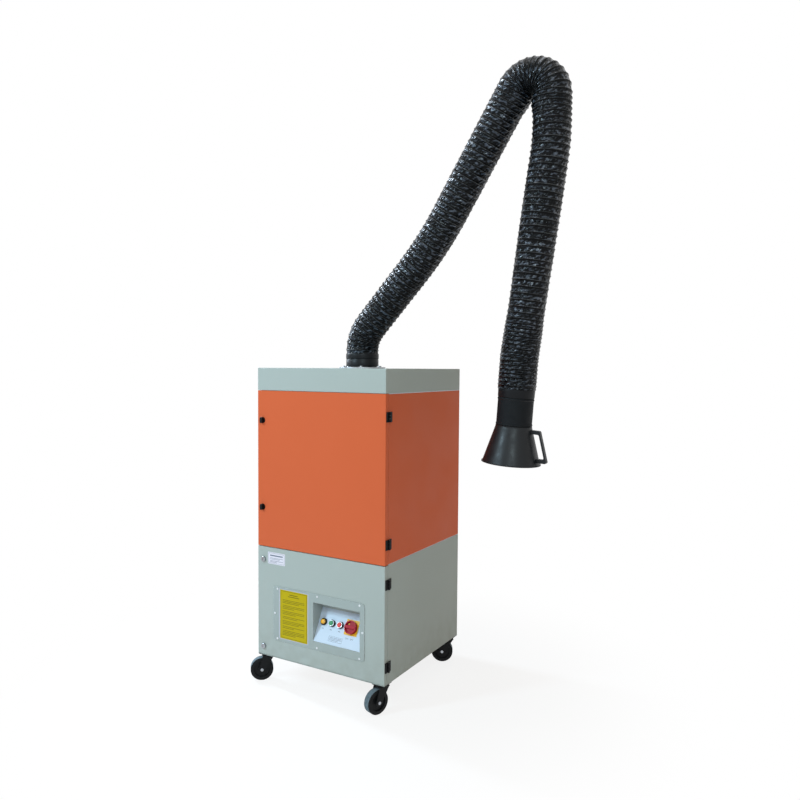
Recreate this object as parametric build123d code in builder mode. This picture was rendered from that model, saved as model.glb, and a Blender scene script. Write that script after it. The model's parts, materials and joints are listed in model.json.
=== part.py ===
from build123d import *
import math
import os

os.makedirs("parts", exist_ok=True)

# Welding fume extractor: a filter cabinet on casters with a ribbed extraction arm on its cap.
# Millimetres, +Z up. The origin is on the floor, under the middle of the cabinet.
# The doors face -Y and the arm reaches towards +X.

# Driving dimensions of the cabinet
cabinet_width = 650.0
cabinet_depth = 650.0
sheet_metal_height = 1250.0
base_height = 478.0
cap_height = 96.0
caster_height = 118.0
sheet = 2.0
deck_thickness = 3.0
deck_inset = 1.0
bend_radius = 2.5
flange_width = 15.0
cap_return = 9.0
pan_flange = 20.0
overrun = 5.0

# Doors
door_depth = 21.0
door_seam = 2.0
door_gap = 1.5
door_lip = 12.0
seal_width = 8.0
seal_thickness = 1.7

# Door hinges, with their places as margins from the top and the foot of what the door closes
hinge_size = 40.0
hinge_leaf = 4.0
barrel_radius = 5.5
barrel_standoff = 6.0
hinge_pin_radius = 2.5
knuckle_gap = 0.4
leaf_notch = 1.0
upper_hinge_margins = (92.0, 82.0)
lower_hinge_margins = (76.0, 71.0)

# Fits shared by several pieces
running_clearance = 0.08
air_gap = 0.3

# Door latches and locks, as distances from the door's free edge and from its top and foot
latch_inset = 28.0
lock_inset = 33.0
latch_margins = (129.0, 172.0)
lock_margins = (56.0, 40.0)
latch_radius = 13.0
latch_reach = 14.0
lock_radius = 11.5
lock_reach = 8.0
latch_grip = 8.0
spindle_radius = 5.0
latch_cam_length = 20.0
lock_cam_length = 25.0
cam_width = 14.0
cam_thickness = 4.0
key_slot = 2.0

# Arm skeleton, with places in its upright plane as reach and height over the cap
eye_radius = 16.0
eye_thickness = 12.0
ear_thickness = 5.0
ear_gap = 0.5
bar_radius = 11.0
bar_wall = 2.0
bar_neck = 26.0
neck_width = 22.0
pin_radius = 6.0
pin_head_radius = 10.0
pin_head = 4.0
shoulder_rise = 137.0
inner_pivot = (741.0, 1113.0)
outer_pivot = (842.0, 1095.0)
link_spacer = 30.0

# Ribbed hose, with the corners of its route as reach and height over the cap
hose_crest_radius = 73.0
hose_root_radius = 67.5
hose_bore_radius = 65.5
rib_pitch = 24.0
root_share = 0.34
rise_share = 0.5
crest_share = 0.84
hose_start = (0.0, 8.0)
base_cuff = 58.0
hood_cuff = 40.0
cuff_radius = 72.0
base_corner = (0.0, 140.0)
lower_bend = (356.0, 522.0)
elbow_corner = (732.0, 1126.0)
elbow_far_corner = (861.0, 1126.0)
upper_bend = (859.0, 872.0)
hose_radii = (160.0, 1500.0, 82.0, 82.0, 900.0, 400.0)
span_margin = 24.0

# Arm base and turntable
flange_radius = 103.0
flange_thickness = 6.0
duct_wall = 2.0
duct_tail = 128.0
sleeve_wall = 3.0
sleeve_rise = 66.0
spider_height = 10.0
spider_width = 36.0
flange_bolt_circle = 90.0
flange_bolt_count = 6
flange_bolt_radius = 3.0
bolt_head_radius = 6.0
bolt_head = 5.0
bolt_tail = 8.0

# Hood, hung from a place given as reach and height over the cap
collar_place = (730.0, -111.0)
hood_lean = 4.0
collar_length = 110.0
collar_radius = 70.7
collar_wall = 2.0
spigot_length = 40.0
wrist_height = 63.0
wrist_bar_width = 30.0
wrist_bar_height = 12.0
bead_radius = 72.4
bead_height = 4.0
bead_inset = 5.0
neck_length = 28.0
turning_gap = 1.0
cone_start = 119.0
hood_length = 261.0
cone_top_radius = 73.5
cone_rim_radius = 114.0
rim_radius = 118.0
rim_height = 3.5
hood_wall = 2.0
handle_width = 20.0
handle_top = 121.0
handle_bottom = 246.0
handle_bar = 7.0
handle_arm = 15.0
handle_top_reach = 111.0
handle_bottom_reach = 150.0
handle_corner = 7.0

# Casters
caster_inset = 31.0
caster_plate = 58.0
caster_plate_thickness = 4.0
wheel_radius = 49.0
wheel_width = 30.0
tread_depth = 9.0
tread_inset = 1.0
tread_groove = 1.2
tread_groove_count = 5
caster_trail = 28.0
kingpin_radius = 5.0
kingpin_head_radius = 7.5
kingpin_head = 2.5
fork_top_radius = 24.0
fork_top = 9.0
fork_wall = 4.0
fork_clearance = 2.0
fork_boss_radius = 15.0
axle_radius = 4.0
axle_head_radius = 6.5
axle_head = 3.0
hub_boss_radius = 11.0
hub_web = 16.0
hub_rim = 5.0
caster_places = ((1, -1, -20.0), (-1, -1, -48.0), (1, 1, -64.0), (-1, 1, -35.0))

# Control fascia in the lower door, heights over the base's underside
fascia_centre = (-3.0, 196.0)
fascia_size = (470.0, 236.0)
fascia_corner = 14.0
fascia_thickness = 2.0
window_size = (233.0, 163.0)
window_margins = (23.0, 37.0)
recess_wall = 1.5
recess_depth = 65.0
recess_rise = 126.0
control_plate_thickness = 2.0
screw_inset = 10.0
screw_corner_inset = 24.0
screw_head_radius = 4.5
screw_head = 2.0
screw_radius = 2.0
screw_length = 9.0
control_row = 84.0
lamp_offset = -88.0
green_offset = -46.0
red_offset = -4.0
isolator_offset = 52.0
bezel_radius = 14.5
bezel_height = 7.0
button_radius = 10.0
button_height = 9.5
button_travel = 4.0
button_stem_radius = 4.0
stem_length = 16.0
lamp_radius = 10.0
lamp_height = 15.0
isolator_plate_size = 62.0
isolator_plate_thickness = 2.0
knob_radius = 27.0
knob_base = 8.0
knob_ring = 4.0
knob_ring_height = 8.0
knob_grip = 10.0
knob_grip_width = 10.0
knob_spindle_radius = 4.0

# Filter bay
filter_radius = 158.0
filter_valley_radius = 126.0
filter_bore_radius = 98.0
filter_cap_radius = 165.0
filter_cap = 12.0
filter_headroom = 86.0
pleat_count = 40
tray_side_gap = 25.0
tray_end_gap = 12.0
tray_height = 40.0
tray_wall = 1.5
tray_rim_gap = 8.0

# Blower bay
inlet_radius = 95.0
scroll_radius = 200.0
scroll_height = 120.0
outlet_width = 140.0
outlet_rim = 14.0
impeller_radius = 150.0
impeller_inner_radius = 62.0
impeller_height = 84.0
impeller_floor_gap = 8.0
blade_count = 10
blade_angle = 40.0
hub_radius = 26.0
hub_height = 50.0
shaft_radius = 12.0
shaft_length = 44.0
shaft_hole_radius = 40.0
motor_radius = 75.0
motor_length = 170.0
motor_flange_radius = 88.0
motor_flange = 6.0
motor_box = (70.0, 40.0, 90.0)
fin_count = 16
fin_depth = 5.0
fin_width = 4.0

# Exhaust grille and cable gland in the back wall, the gland placed from the casing's side and foot
grille_margin = 10.0
grille_corner = 6.0
slot_count = 8
slot_height = 6.0
slot_margin = 6.0
gland_place = (95.0, 70.0)
gland_radius = 12.0
gland_length = 22.0
gland_bore_radius = 5.0
gland_thread_radius = 10.0
gland_nut = 5.0

# Heights and faces that follow from the driving dimensions
half_width = cabinet_width / 2
front_y = -cabinet_depth / 2
back_y = cabinet_depth / 2
casing_front_y = front_y + door_depth + door_seam
casing_depth = back_y - casing_front_y
casing_mid_y = (back_y + casing_front_y) / 2
floor_z = caster_height
pan_top = floor_z + sheet
base_top = floor_z + base_height
bay_floor = base_top + deck_thickness
top_z = floor_z + sheet_metal_height
cap_bottom = top_z - cap_height
deck_bottom = cap_bottom - deck_thickness
sleeve_top = top_z + sleeve_rise

front_plane = Plane(origin=(0, front_y, 0), x_dir=(1, 0, 0), z_dir=(0, -1, 0))
back_plane = Plane(origin=(0, back_y, 0), x_dir=(-1, 0, 0), z_dir=(0, 1, 0))
side_plane = Plane(origin=(half_width, 0, 0), x_dir=(0, 1, 0), z_dir=(1, 0, 0))
arm_plane = Plane(origin=(0, 0, 0), x_dir=(1, 0, 0), z_dir=(0, -1, 0))


def save(piece, label):
    """Names a finished piece and writes it as its own file."""
    piece.label = label
    export_step(piece, f"parts/{label}.step")


# Base pan: a folded tray that the casing stands on and the casters are fixed to
with BuildPart() as base_pan:
    with BuildSketch(Plane.XY.offset(floor_z)):
        Rectangle(cabinet_width, cabinet_depth)
    extrude(amount=sheet)
    with BuildSketch(Plane.XY.offset(pan_top)):
        with Locations((0, casing_mid_y)):
            Rectangle(cabinet_width - 2 * sheet, casing_depth - 2 * sheet)
            Rectangle(cabinet_width - 4 * sheet, casing_depth - 4 * sheet, mode=Mode.SUBTRACT)
    extrude(amount=pan_flange)
save(base_pan.part, "base_pan")


def walled_casing(bottom, top):
    """A casing of side and back walls, with a narrow return along each front edge."""
    with BuildPart() as casing:
        with BuildSketch(Plane.XY.offset(bottom)):
            with Locations((0, casing_mid_y)):
                Rectangle(cabinet_width, casing_depth)
                Rectangle(cabinet_width - 2 * sheet, casing_depth - 2 * sheet, mode=Mode.SUBTRACT)
            with Locations((0, casing_front_y)):
                Rectangle(cabinet_width - 2 * flange_width, 4 * sheet, mode=Mode.SUBTRACT)
        extrude(amount=top - bottom)
        upright = casing.edges().filter_by(Axis.Z).group_by(Axis.Y)[-1]
        fillet(upright, bend_radius)
    return casing.part


# Blower outlet and gland openings through the back wall of the base casing
outlet_centre = (scroll_radius - outlet_width / 2, base_top - scroll_height / 2)
outlet_size = (outlet_width - 2 * outlet_rim, scroll_height - 2 * outlet_rim)
gland_centre = (gland_place[0] - half_width, floor_z + gland_place[1])
with BuildPart() as base_casing:
    add(walled_casing(pan_top, base_top))
    with BuildSketch(back_plane):
        with Locations((-outlet_centre[0], outlet_centre[1])):
            Rectangle(*outlet_size)
        with Locations((-gland_centre[0], gland_centre[1])):
            Circle(gland_thread_radius + running_clearance)
    extrude(amount=-sheet - overrun, mode=Mode.SUBTRACT)
save(base_casing.part, "base_casing")

save(walled_casing(bay_floor, deck_bottom), "filter_casing")


# Tube plate: the floor of the filter bay, which the blower draws through
def deck(bottom, hole_radius):
    """A stiff plate between two casings, set back a little so that a shadow line shows."""
    with BuildPart() as plate:
        with BuildSketch(Plane.XY.offset(bottom)):
            with Locations((0, casing_mid_y)):
                Rectangle(cabinet_width - 2 * deck_inset, casing_depth - 2 * deck_inset)
            Circle(hole_radius, mode=Mode.SUBTRACT)
        extrude(amount=deck_thickness)
    return plate.part


duct_radius = hose_bore_radius - air_gap - sleeve_wall - running_clearance
duct_hole_radius = duct_radius + air_gap
save(deck(base_top, inlet_radius), "tube_plate")
save(deck(deck_bottom, duct_hole_radius), "cap_deck")

# Top cap: a folded lid that carries the arm
with BuildPart() as top_cap:
    with BuildSketch(Plane.XY.offset(cap_bottom)):
        Rectangle(cabinet_width, cabinet_depth)
    extrude(amount=cap_height)
    fillet(top_cap.edges().filter_by(Axis.Z), bend_radius)
    fillet(top_cap.faces().sort_by(Axis.Z)[-1].edges(), bend_radius)
    with BuildSketch(Plane.XY.offset(cap_bottom + sheet)):
        Rectangle(cabinet_width - 2 * sheet, cabinet_depth - 2 * sheet)
    extrude(amount=cap_height - 2 * sheet, mode=Mode.SUBTRACT)
    with BuildSketch(Plane.XY.offset(cap_bottom)):
        Rectangle(cabinet_width - 2 * cap_return, cabinet_depth - 2 * cap_return)
    extrude(amount=sheet, mode=Mode.SUBTRACT)
    with BuildSketch(Plane.XY.offset(top_z)):
        Circle(duct_hole_radius)
        with PolarLocations(flange_bolt_circle, flange_bolt_count):
            Circle(flange_bolt_radius + running_clearance)
    extrude(amount=-sheet - overrun, mode=Mode.SUBTRACT)
save(top_cap.part, "top_cap")


def door_pan(bottom, top):
    """A door leaf folded from sheet, with returns and a lip all round its back."""
    height = top - bottom
    mid = (top + bottom) / 2
    with BuildPart() as pan:
        with BuildSketch(front_plane):
            with Locations((0, mid)):
                Rectangle(cabinet_width, height)
        extrude(amount=-door_depth)
        fillet(pan.edges().filter_by(Axis.Z).group_by(Axis.Y)[0], bend_radius)
        with BuildSketch(front_plane.offset(-sheet)):
            with Locations((0, mid)):
                Rectangle(cabinet_width - 2 * sheet, height - 2 * sheet)
        extrude(amount=-(door_depth - 2 * sheet), mode=Mode.SUBTRACT)
        with BuildSketch(front_plane.offset(-(door_depth - sheet))):
            with Locations((0, mid)):
                Rectangle(cabinet_width - 2 * door_lip, height - 2 * door_lip)
        extrude(amount=-sheet, mode=Mode.SUBTRACT)
    return pan.part


def door_heights(margins, low, high):
    """Heights over the floor of a pair of fittings, from their margins below a top and above a foot."""
    return (high - margins[0], low + margins[1])


filter_door_span = (bay_floor - door_gap, cap_bottom - door_gap)
blower_door_span = (pan_top + door_gap, base_top - door_gap)
latch_x = -half_width + latch_inset
lock_x = -half_width + lock_inset
latch_heights = door_heights(latch_margins, base_top, cap_bottom)
lock_heights = door_heights(lock_margins, floor_z, base_top)
spindle_hole_radius = spindle_radius + running_clearance

with BuildPart() as filter_door:
    add(door_pan(*filter_door_span))
    with BuildSketch(front_plane):
        with Locations(*[(latch_x, height) for height in latch_heights]):
            Circle(spindle_hole_radius)
    extrude(amount=-sheet - overrun, mode=Mode.SUBTRACT)
save(filter_door.part, "filter_door")

fascia_place = (fascia_centre[0], floor_z + fascia_centre[1])
window_x, window_z = window_place = tuple(
    place + (size - window) / 2 - margin
    for place, size, window, margin in zip(fascia_place, fascia_size, window_size, window_margins)
)
screw_side = fascia_size[0] / 2 - screw_inset
screw_corner = fascia_size[0] / 2 - screw_corner_inset
screw_level = fascia_size[1] / 2 - screw_inset
screw_places = [
    (fascia_place[0] + x, fascia_place[1] + z)
    for x, z in (
        (-screw_corner, screw_level),
        (0, screw_level),
        (screw_corner, screw_level),
        (screw_side, 0),
        (screw_corner, -screw_level),
        (0, -screw_level),
        (-screw_corner, -screw_level),
        (-screw_side, 0),
    )
]
with BuildPart() as blower_door:
    add(door_pan(*blower_door_span))
    with BuildSketch(front_plane):
        with Locations(*[(lock_x, height) for height in lock_heights]):
            Circle(spindle_hole_radius)
        with Locations(*screw_places):
            Circle(screw_radius + running_clearance)
        with Locations(window_place):
            Rectangle(window_size[0] + 2 * recess_wall, window_size[1] + 2 * recess_wall)
    extrude(amount=-sheet - overrun, mode=Mode.SUBTRACT)
save(blower_door.part, "blower_door")

# Seal on the back lip of the filter door
seal_height = filter_door_span[1] - filter_door_span[0] - 2 * sheet
with BuildPart() as filter_door_seal:
    with BuildSketch(front_plane.offset(-door_depth)):
        with Locations((0, (filter_door_span[0] + filter_door_span[1]) / 2)):
            Rectangle(cabinet_width - 2 * sheet, seal_height)
            Rectangle(
                cabinet_width - 2 * sheet - 2 * seal_width,
                seal_height - 2 * seal_width,
                mode=Mode.SUBTRACT,
            )
    extrude(amount=-seal_thickness)
save(filter_door_seal.part, "filter_door_seal")


# Hinges: each has a leaf on the door's return and one on the casing, round an upright pin
hinge_axis = (half_width + barrel_standoff, casing_front_y - door_seam / 2)
knuckle = hinge_size / 3


def hinge_leaves(heights, knuckle_offsets, inner_edge, outer_edge, notch_edge):
    """Leaves of one side of the hinges: a plate on the cabinet's side and the knuckles that it carries."""
    with BuildPart() as leaves:
        for height in heights:
            with BuildSketch(side_plane):
                with Locations(((inner_edge + outer_edge) / 2, height)):
                    Rectangle(abs(outer_edge - inner_edge), hinge_size)
            extrude(amount=hinge_leaf)
            for offset in (-knuckle, 0, knuckle):
                if offset in knuckle_offsets:
                    continue
                with BuildSketch(side_plane):
                    with Locations(((inner_edge + notch_edge) / 2, height + offset)):
                        Rectangle(abs(notch_edge - inner_edge), knuckle + 2 * knuckle_gap)
                extrude(amount=hinge_leaf, mode=Mode.SUBTRACT)
            for offset in knuckle_offsets:
                low = height + offset - knuckle / 2 + knuckle_gap
                with BuildSketch(Plane.XY.offset(low)):
                    with Locations(hinge_axis):
                        Circle(barrel_radius)
                extrude(amount=knuckle - 2 * knuckle_gap)
        with BuildSketch(Plane.XY):
            with Locations(hinge_axis):
                Circle(hinge_pin_radius + running_clearance)
        extrude(amount=top_z, mode=Mode.SUBTRACT)
    return leaves.part


door_leaf_end = hinge_axis[1] - door_seam / 2 - air_gap
casing_leaf_end = hinge_axis[1] + door_seam / 2 + air_gap
door_leaf_far = front_y + bend_radius
casing_leaf_far = casing_leaf_end + (door_leaf_end - door_leaf_far) + leaf_notch
door_notch = hinge_axis[1] - barrel_radius - leaf_notch
casing_notch = hinge_axis[1] + barrel_radius + leaf_notch
filter_hinges = door_heights(upper_hinge_margins, base_top, cap_bottom)
blower_hinges = door_heights(lower_hinge_margins, floor_z, base_top)
middle_knuckle = (0,)
end_knuckles = (-knuckle, knuckle)
save(
    hinge_leaves(filter_hinges, middle_knuckle, door_leaf_end, door_leaf_far, door_notch),
    "filter_door_hinge_leaves",
)
save(
    hinge_leaves(blower_hinges, middle_knuckle, door_leaf_end, door_leaf_far, door_notch),
    "blower_door_hinge_leaves",
)
save(
    hinge_leaves(
        filter_hinges + blower_hinges, end_knuckles, casing_leaf_end, casing_leaf_far, casing_notch
    ),
    "cabinet_hinge_leaves",
)

with BuildPart() as hinge_pins:
    for height in filter_hinges + blower_hinges:
        with BuildSketch(Plane.XY.offset(height - hinge_size / 2)):
            with Locations(hinge_axis):
                Circle(hinge_pin_radius)
        extrude(amount=hinge_size)
save(hinge_pins.part, "hinge_pins")


# Latches and locks: a grip outside, a spindle through the door and a cam behind the casing's return
cam_face = -(door_depth + door_seam + sheet + air_gap)
cam_back = cam_face - cam_thickness


def cam_latch(x, height, label, reach, cam_length, half_round):
    """A latch drawn open: its cam stands upright, and a quarter turn puts it behind the return."""
    with BuildPart() as latch:
        with BuildSketch(front_plane):
            with Locations((x, height)):
                Circle(latch_radius if half_round else lock_radius)
        extrude(amount=reach)
        rim = latch.faces().sort_by(Axis.Y)[0].edges()
        fillet(rim, (reach - sheet) / 4)
        if half_round:
            grip_sides = (latch_radius + latch_grip) / 2
            with BuildSketch(front_plane.offset(sheet)):
                for side in (-1, 1):
                    with Locations((x + side * grip_sides, height)):
                        Rectangle(latch_radius - latch_grip / 2, 2 * latch_radius)
            extrude(amount=reach, mode=Mode.SUBTRACT)
        else:
            with BuildSketch(front_plane.offset(reach)):
                with Locations((x, height)):
                    Rectangle(key_slot, lock_radius)
            extrude(amount=-key_slot, mode=Mode.SUBTRACT)
        with BuildSketch(front_plane):
            with Locations((x, height)):
                Circle(spindle_radius)
        extrude(amount=cam_back)
        with BuildSketch(front_plane.offset(cam_face)):
            with Locations((x, height + cam_length / 2)):
                Rectangle(cam_width, cam_length)
            with Locations((x, height)):
                Circle(cam_width / 2)
        extrude(amount=-cam_thickness)
    save(latch.part, label)


for height, label in zip(latch_heights, ("upper_latch", "lower_latch")):
    cam_latch(latch_x, height, label, latch_reach, latch_cam_length, True)
for height, label in zip(lock_heights, ("upper_lock", "lower_lock")):
    cam_latch(lock_x, height, label, lock_reach, lock_cam_length, False)


# Control fascia: a framed plate on the lower door with a recess behind its window
window_low = window_z - window_size[1] / 2
window_high = window_z + window_size[1] / 2
slope_foot = (front_y, window_low)
slope_head = (front_y + recess_depth, window_low + recess_rise)
recess_left = window_x - window_size[0] / 2
recess_section = Plane(origin=(recess_left, 0, 0), x_dir=(0, 1, 0), z_dir=(1, 0, 0))


def recess_outline(grow):
    """The recess from its side: up the sloped plate, up its back and along its ceiling."""
    return (
        (slope_foot[0], slope_foot[1] - grow),
        (slope_head[0] + grow, slope_head[1] - grow),
        (slope_head[0] + grow, window_high + grow),
        (slope_foot[0], window_high + grow),
    )


with BuildPart() as control_fascia:
    with BuildSketch(front_plane):
        with Locations(fascia_place):
            RectangleRounded(*fascia_size, fascia_corner)
    extrude(amount=fascia_thickness)
    with BuildSketch(recess_section.offset(-recess_wall)):
        with BuildLine():
            Polyline(*recess_outline(recess_wall), close=True)
        make_face()
    extrude(amount=window_size[0] + 2 * recess_wall)
    with BuildSketch(front_plane.offset(fascia_thickness)):
        with Locations(window_place):
            Rectangle(*window_size)
        with Locations(*screw_places):
            Circle(screw_radius + running_clearance)
    extrude(amount=-2 * fascia_thickness, mode=Mode.SUBTRACT)
    with BuildSketch(recess_section):
        with BuildLine():
            Polyline(*recess_outline(0), close=True)
        make_face()
    extrude(amount=window_size[0], mode=Mode.SUBTRACT)
    with BuildSketch(recess_section):
        with BuildLine():
            Polyline(
                slope_foot,
                slope_head,
                (slope_head[0] + overrun, slope_head[1]),
                (slope_head[0] + overrun, slope_foot[1] - overrun),
                (slope_foot[0], slope_foot[1] - overrun),
                close=True,
            )
        make_face()
    extrude(amount=window_size[0], mode=Mode.SUBTRACT)
save(control_fascia.part, "control_fascia")

# Control plate up the back of the recess, with the lamp, two buttons and the isolator on it
slope_length = math.hypot(recess_depth, recess_rise)
slope_back = (recess_rise / slope_length, -recess_depth / slope_length)
control_plane = Plane(
    origin=(window_x, *slope_foot), x_dir=(1, 0, 0), z_dir=(0, -slope_back[0], -slope_back[1])
)
button_places = ((green_offset, control_row), (red_offset, control_row))
lamp_place = (lamp_offset, control_row)
isolator_place = (isolator_offset, control_row)

with BuildPart() as control_plate:
    with BuildSketch(control_plane):
        with Locations((0, slope_length / 2)):
            Rectangle(window_size[0], slope_length)
        with Locations(*button_places, lamp_place):
            Circle(button_stem_radius + running_clearance, mode=Mode.SUBTRACT)
        with Locations(isolator_place):
            Circle(knob_spindle_radius + running_clearance, mode=Mode.SUBTRACT)
    extrude(amount=-control_plate_thickness)
save(control_plate.part, "control_plate")

with BuildPart() as control_bezels:
    with BuildSketch(control_plane):
        with Locations(*button_places, lamp_place):
            Circle(bezel_radius)
            Circle(button_radius + running_clearance, mode=Mode.SUBTRACT)
    extrude(amount=bezel_height)
save(control_bezels.part, "control_bezels")

with BuildPart() as indicator_lamp:
    with BuildSketch(control_plane):
        with Locations(lamp_place):
            Circle(lamp_radius)
    extrude(amount=lamp_height)
    lens_rim = indicator_lamp.edges().filter_by(GeomType.CIRCLE).sort_by(Axis.Z)[-1]
    fillet(lens_rim, lamp_height / 3)
    with BuildSketch(control_plane):
        with Locations(lamp_place):
            Circle(button_stem_radius)
    extrude(amount=-stem_length)
save(indicator_lamp.part, "indicator_lamp")

for place, label in zip(button_places, ("start_button", "stop_button")):
    with BuildPart() as button:
        with BuildSketch(control_plane.offset(button_travel + air_gap)):
            with Locations(place):
                Circle(button_radius)
        extrude(amount=button_height)
        with BuildSketch(control_plane.offset(button_travel + air_gap)):
            with Locations(place):
                Circle(button_stem_radius)
        extrude(amount=-button_travel - stem_length)
    save(button.part, label)

with BuildPart() as isolator_plate:
    with BuildSketch(control_plane):
        with Locations(isolator_place):
            Rectangle(isolator_plate_size, isolator_plate_size)
            Circle(knob_spindle_radius + running_clearance, mode=Mode.SUBTRACT)
    extrude(amount=isolator_plate_thickness)
save(isolator_plate.part, "isolator_plate")

knob_face = isolator_plate_thickness + air_gap
with BuildPart() as isolator_knob:
    with BuildSketch(control_plane.offset(knob_face)):
        with Locations(isolator_place):
            Circle(knob_radius)
    extrude(amount=knob_base)
    with BuildSketch(control_plane.offset(knob_face + knob_base)):
        with Locations(isolator_place):
            Circle(knob_radius)
            Circle(knob_radius - knob_ring, mode=Mode.SUBTRACT)
    extrude(amount=knob_ring_height)
    with BuildSketch(control_plane.offset(knob_face + knob_base)):
        with Locations(isolator_place):
            SlotOverall(2 * knob_radius - knob_ring, knob_grip_width)
    extrude(amount=knob_grip)
    with BuildSketch(control_plane.offset(knob_face)):
        with Locations(isolator_place):
            Circle(knob_spindle_radius)
    extrude(amount=-stem_length)
save(isolator_knob.part, "isolator_knob")

with BuildPart() as fascia_screws:
    with BuildSketch(front_plane.offset(fascia_thickness)):
        with Locations(*screw_places):
            Circle(screw_head_radius)
    extrude(amount=screw_head)
    fillet(fascia_screws.faces().filter_by(Axis.Y).group_by(Axis.Y)[0].edges(), screw_head / 2)
    with BuildSketch(front_plane.offset(fascia_thickness)):
        with Locations(*screw_places):
            Circle(screw_radius)
    extrude(amount=-screw_length)
save(fascia_screws.part, "fascia_screws")


# Filter cartridge on the tube plate, with its end caps, and the dust tray round its foot
media_low = bay_floor + filter_cap
media_high = deck_bottom - filter_headroom - filter_cap
filter_length = media_high - media_low
tray_width = cabinet_width - 2 * tray_side_gap
tray_depth = -2 * (casing_front_y + tray_end_gap)


def pleat_point(step):
    """A fold of the filter medium: outer and inner folds take turns round the cartridge."""
    radius = filter_radius if step % 2 == 0 else filter_valley_radius
    angle = math.pi * step / pleat_count
    return (radius * math.cos(angle), radius * math.sin(angle))


with BuildPart() as filter_cartridge:
    with BuildSketch(Plane.XY.offset(media_low)):
        with BuildLine():
            Polyline(*[pleat_point(step) for step in range(2 * pleat_count)], close=True)
        make_face()
        Circle(filter_bore_radius, mode=Mode.SUBTRACT)
    extrude(amount=filter_length)
save(filter_cartridge.part, "filter_cartridge")

with BuildPart() as filter_end_caps:
    with BuildSketch(Plane.XY.offset(bay_floor)):
        Circle(filter_cap_radius)
        Circle(filter_bore_radius, mode=Mode.SUBTRACT)
    extrude(amount=filter_cap)
    with BuildSketch(Plane.XY.offset(media_high)):
        Circle(filter_cap_radius)
    extrude(amount=filter_cap)
save(filter_end_caps.part, "filter_end_caps")

with BuildPart() as dust_tray:
    with BuildSketch(Plane.XY.offset(bay_floor)):
        Rectangle(tray_width, tray_depth)
        Circle(filter_cap_radius + tray_rim_gap, mode=Mode.SUBTRACT)
    extrude(amount=tray_height)
    with BuildSketch(Plane.XY.offset(bay_floor + tray_wall)):
        Rectangle(tray_width - 2 * tray_wall, tray_depth - 2 * tray_wall)
        Circle(filter_cap_radius + tray_rim_gap + tray_wall, mode=Mode.SUBTRACT)
    extrude(amount=tray_height, mode=Mode.SUBTRACT)
save(dust_tray.part, "dust_tray")

# Blower: a scroll housing under the tube plate, the impeller in it and the motor below it
scroll_bottom = base_top - scroll_height
scroll_room = scroll_height - 2 * sheet
duct_end = back_y - sheet
with BuildPart() as blower_housing:
    with BuildSketch(Plane.XY.offset(scroll_bottom)):
        Circle(scroll_radius)
        with Locations((outlet_centre[0], duct_end / 2)):
            Rectangle(outlet_width, duct_end)
    extrude(amount=scroll_height)
    with BuildSketch(Plane.XY.offset(scroll_bottom + sheet)):
        Circle(scroll_radius - sheet)
        with Locations((outlet_centre[0], (duct_end + overrun) / 2)):
            Rectangle(outlet_width - 2 * sheet, duct_end + overrun)
    extrude(amount=scroll_room, mode=Mode.SUBTRACT)
    with BuildSketch(Plane.XY.offset(base_top - sheet - overrun)):
        Circle(inlet_radius)
    extrude(amount=sheet + 2 * overrun, mode=Mode.SUBTRACT)
    with BuildSketch(Plane.XY.offset(scroll_bottom - overrun)):
        Circle(shaft_hole_radius)
    extrude(amount=sheet + 2 * overrun, mode=Mode.SUBTRACT)
save(blower_housing.part, "blower_housing")

impeller_floor = scroll_bottom + sheet + impeller_floor_gap
blade_length = (impeller_radius - impeller_inner_radius) / math.cos(math.radians(blade_angle))
with BuildPart() as impeller:
    with BuildSketch(Plane.XY.offset(impeller_floor)):
        Circle(impeller_radius)
    extrude(amount=sheet)
    with BuildSketch(Plane.XY.offset(impeller_floor)):
        Circle(hub_radius)
    extrude(amount=hub_height)
    with BuildSketch(Plane.XY.offset(impeller_floor)):
        Circle(shaft_radius)
    extrude(amount=-shaft_length)
    with BuildSketch(Plane.XY.offset(impeller_floor + sheet)):
        with PolarLocations((impeller_radius + impeller_inner_radius) / 2, blade_count):
            Rectangle(blade_length, sheet, rotation=blade_angle)
        Circle(impeller_radius, mode=Mode.INTERSECT)
    extrude(amount=impeller_height)
    with BuildSketch(Plane.XY.offset(impeller_floor + impeller_height)):
        Circle(impeller_radius)
        Circle(inlet_radius, mode=Mode.SUBTRACT)
    extrude(amount=sheet)
save(impeller.part, "impeller")

with BuildPart() as motor:
    with BuildSketch(Plane.XY.offset(scroll_bottom)):
        Circle(motor_flange_radius)
    extrude(amount=-motor_flange)
    with BuildSketch(Plane.XY.offset(scroll_bottom)):
        Circle(motor_radius)
        with PolarLocations(motor_radius, fin_count):
            Rectangle(2 * fin_depth, fin_width)
    extrude(amount=-motor_length)
    with BuildSketch(Plane.XY.offset(scroll_bottom - motor_flange)):
        with Locations((0, motor_radius + motor_box[1] / 2)):
            Rectangle(motor_box[0], motor_box[1] + 2 * fin_depth)
    extrude(amount=-motor_box[2])
    with BuildSketch(Plane.XY.offset(scroll_bottom)):
        Circle(shaft_radius + running_clearance)
    extrude(amount=-shaft_length, mode=Mode.SUBTRACT)
save(motor.part, "motor")

# Exhaust grille and cable gland on the back wall
grille_width = outlet_size[0] + 2 * grille_margin
grille_height = outlet_size[1] + 2 * grille_margin
slot_width = outlet_size[0] - 2 * slot_margin
slot_step = (outlet_size[1] - 2 * slot_margin) / (slot_count - 1)
with BuildPart() as exhaust_grille:
    with BuildSketch(back_plane):
        with Locations((-outlet_centre[0], outlet_centre[1])):
            RectangleRounded(grille_width, grille_height, grille_corner)
            with GridLocations(0, slot_step, 1, slot_count):
                SlotOverall(slot_width, slot_height, mode=Mode.SUBTRACT)
    extrude(amount=sheet)
save(exhaust_grille.part, "exhaust_grille")

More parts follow.
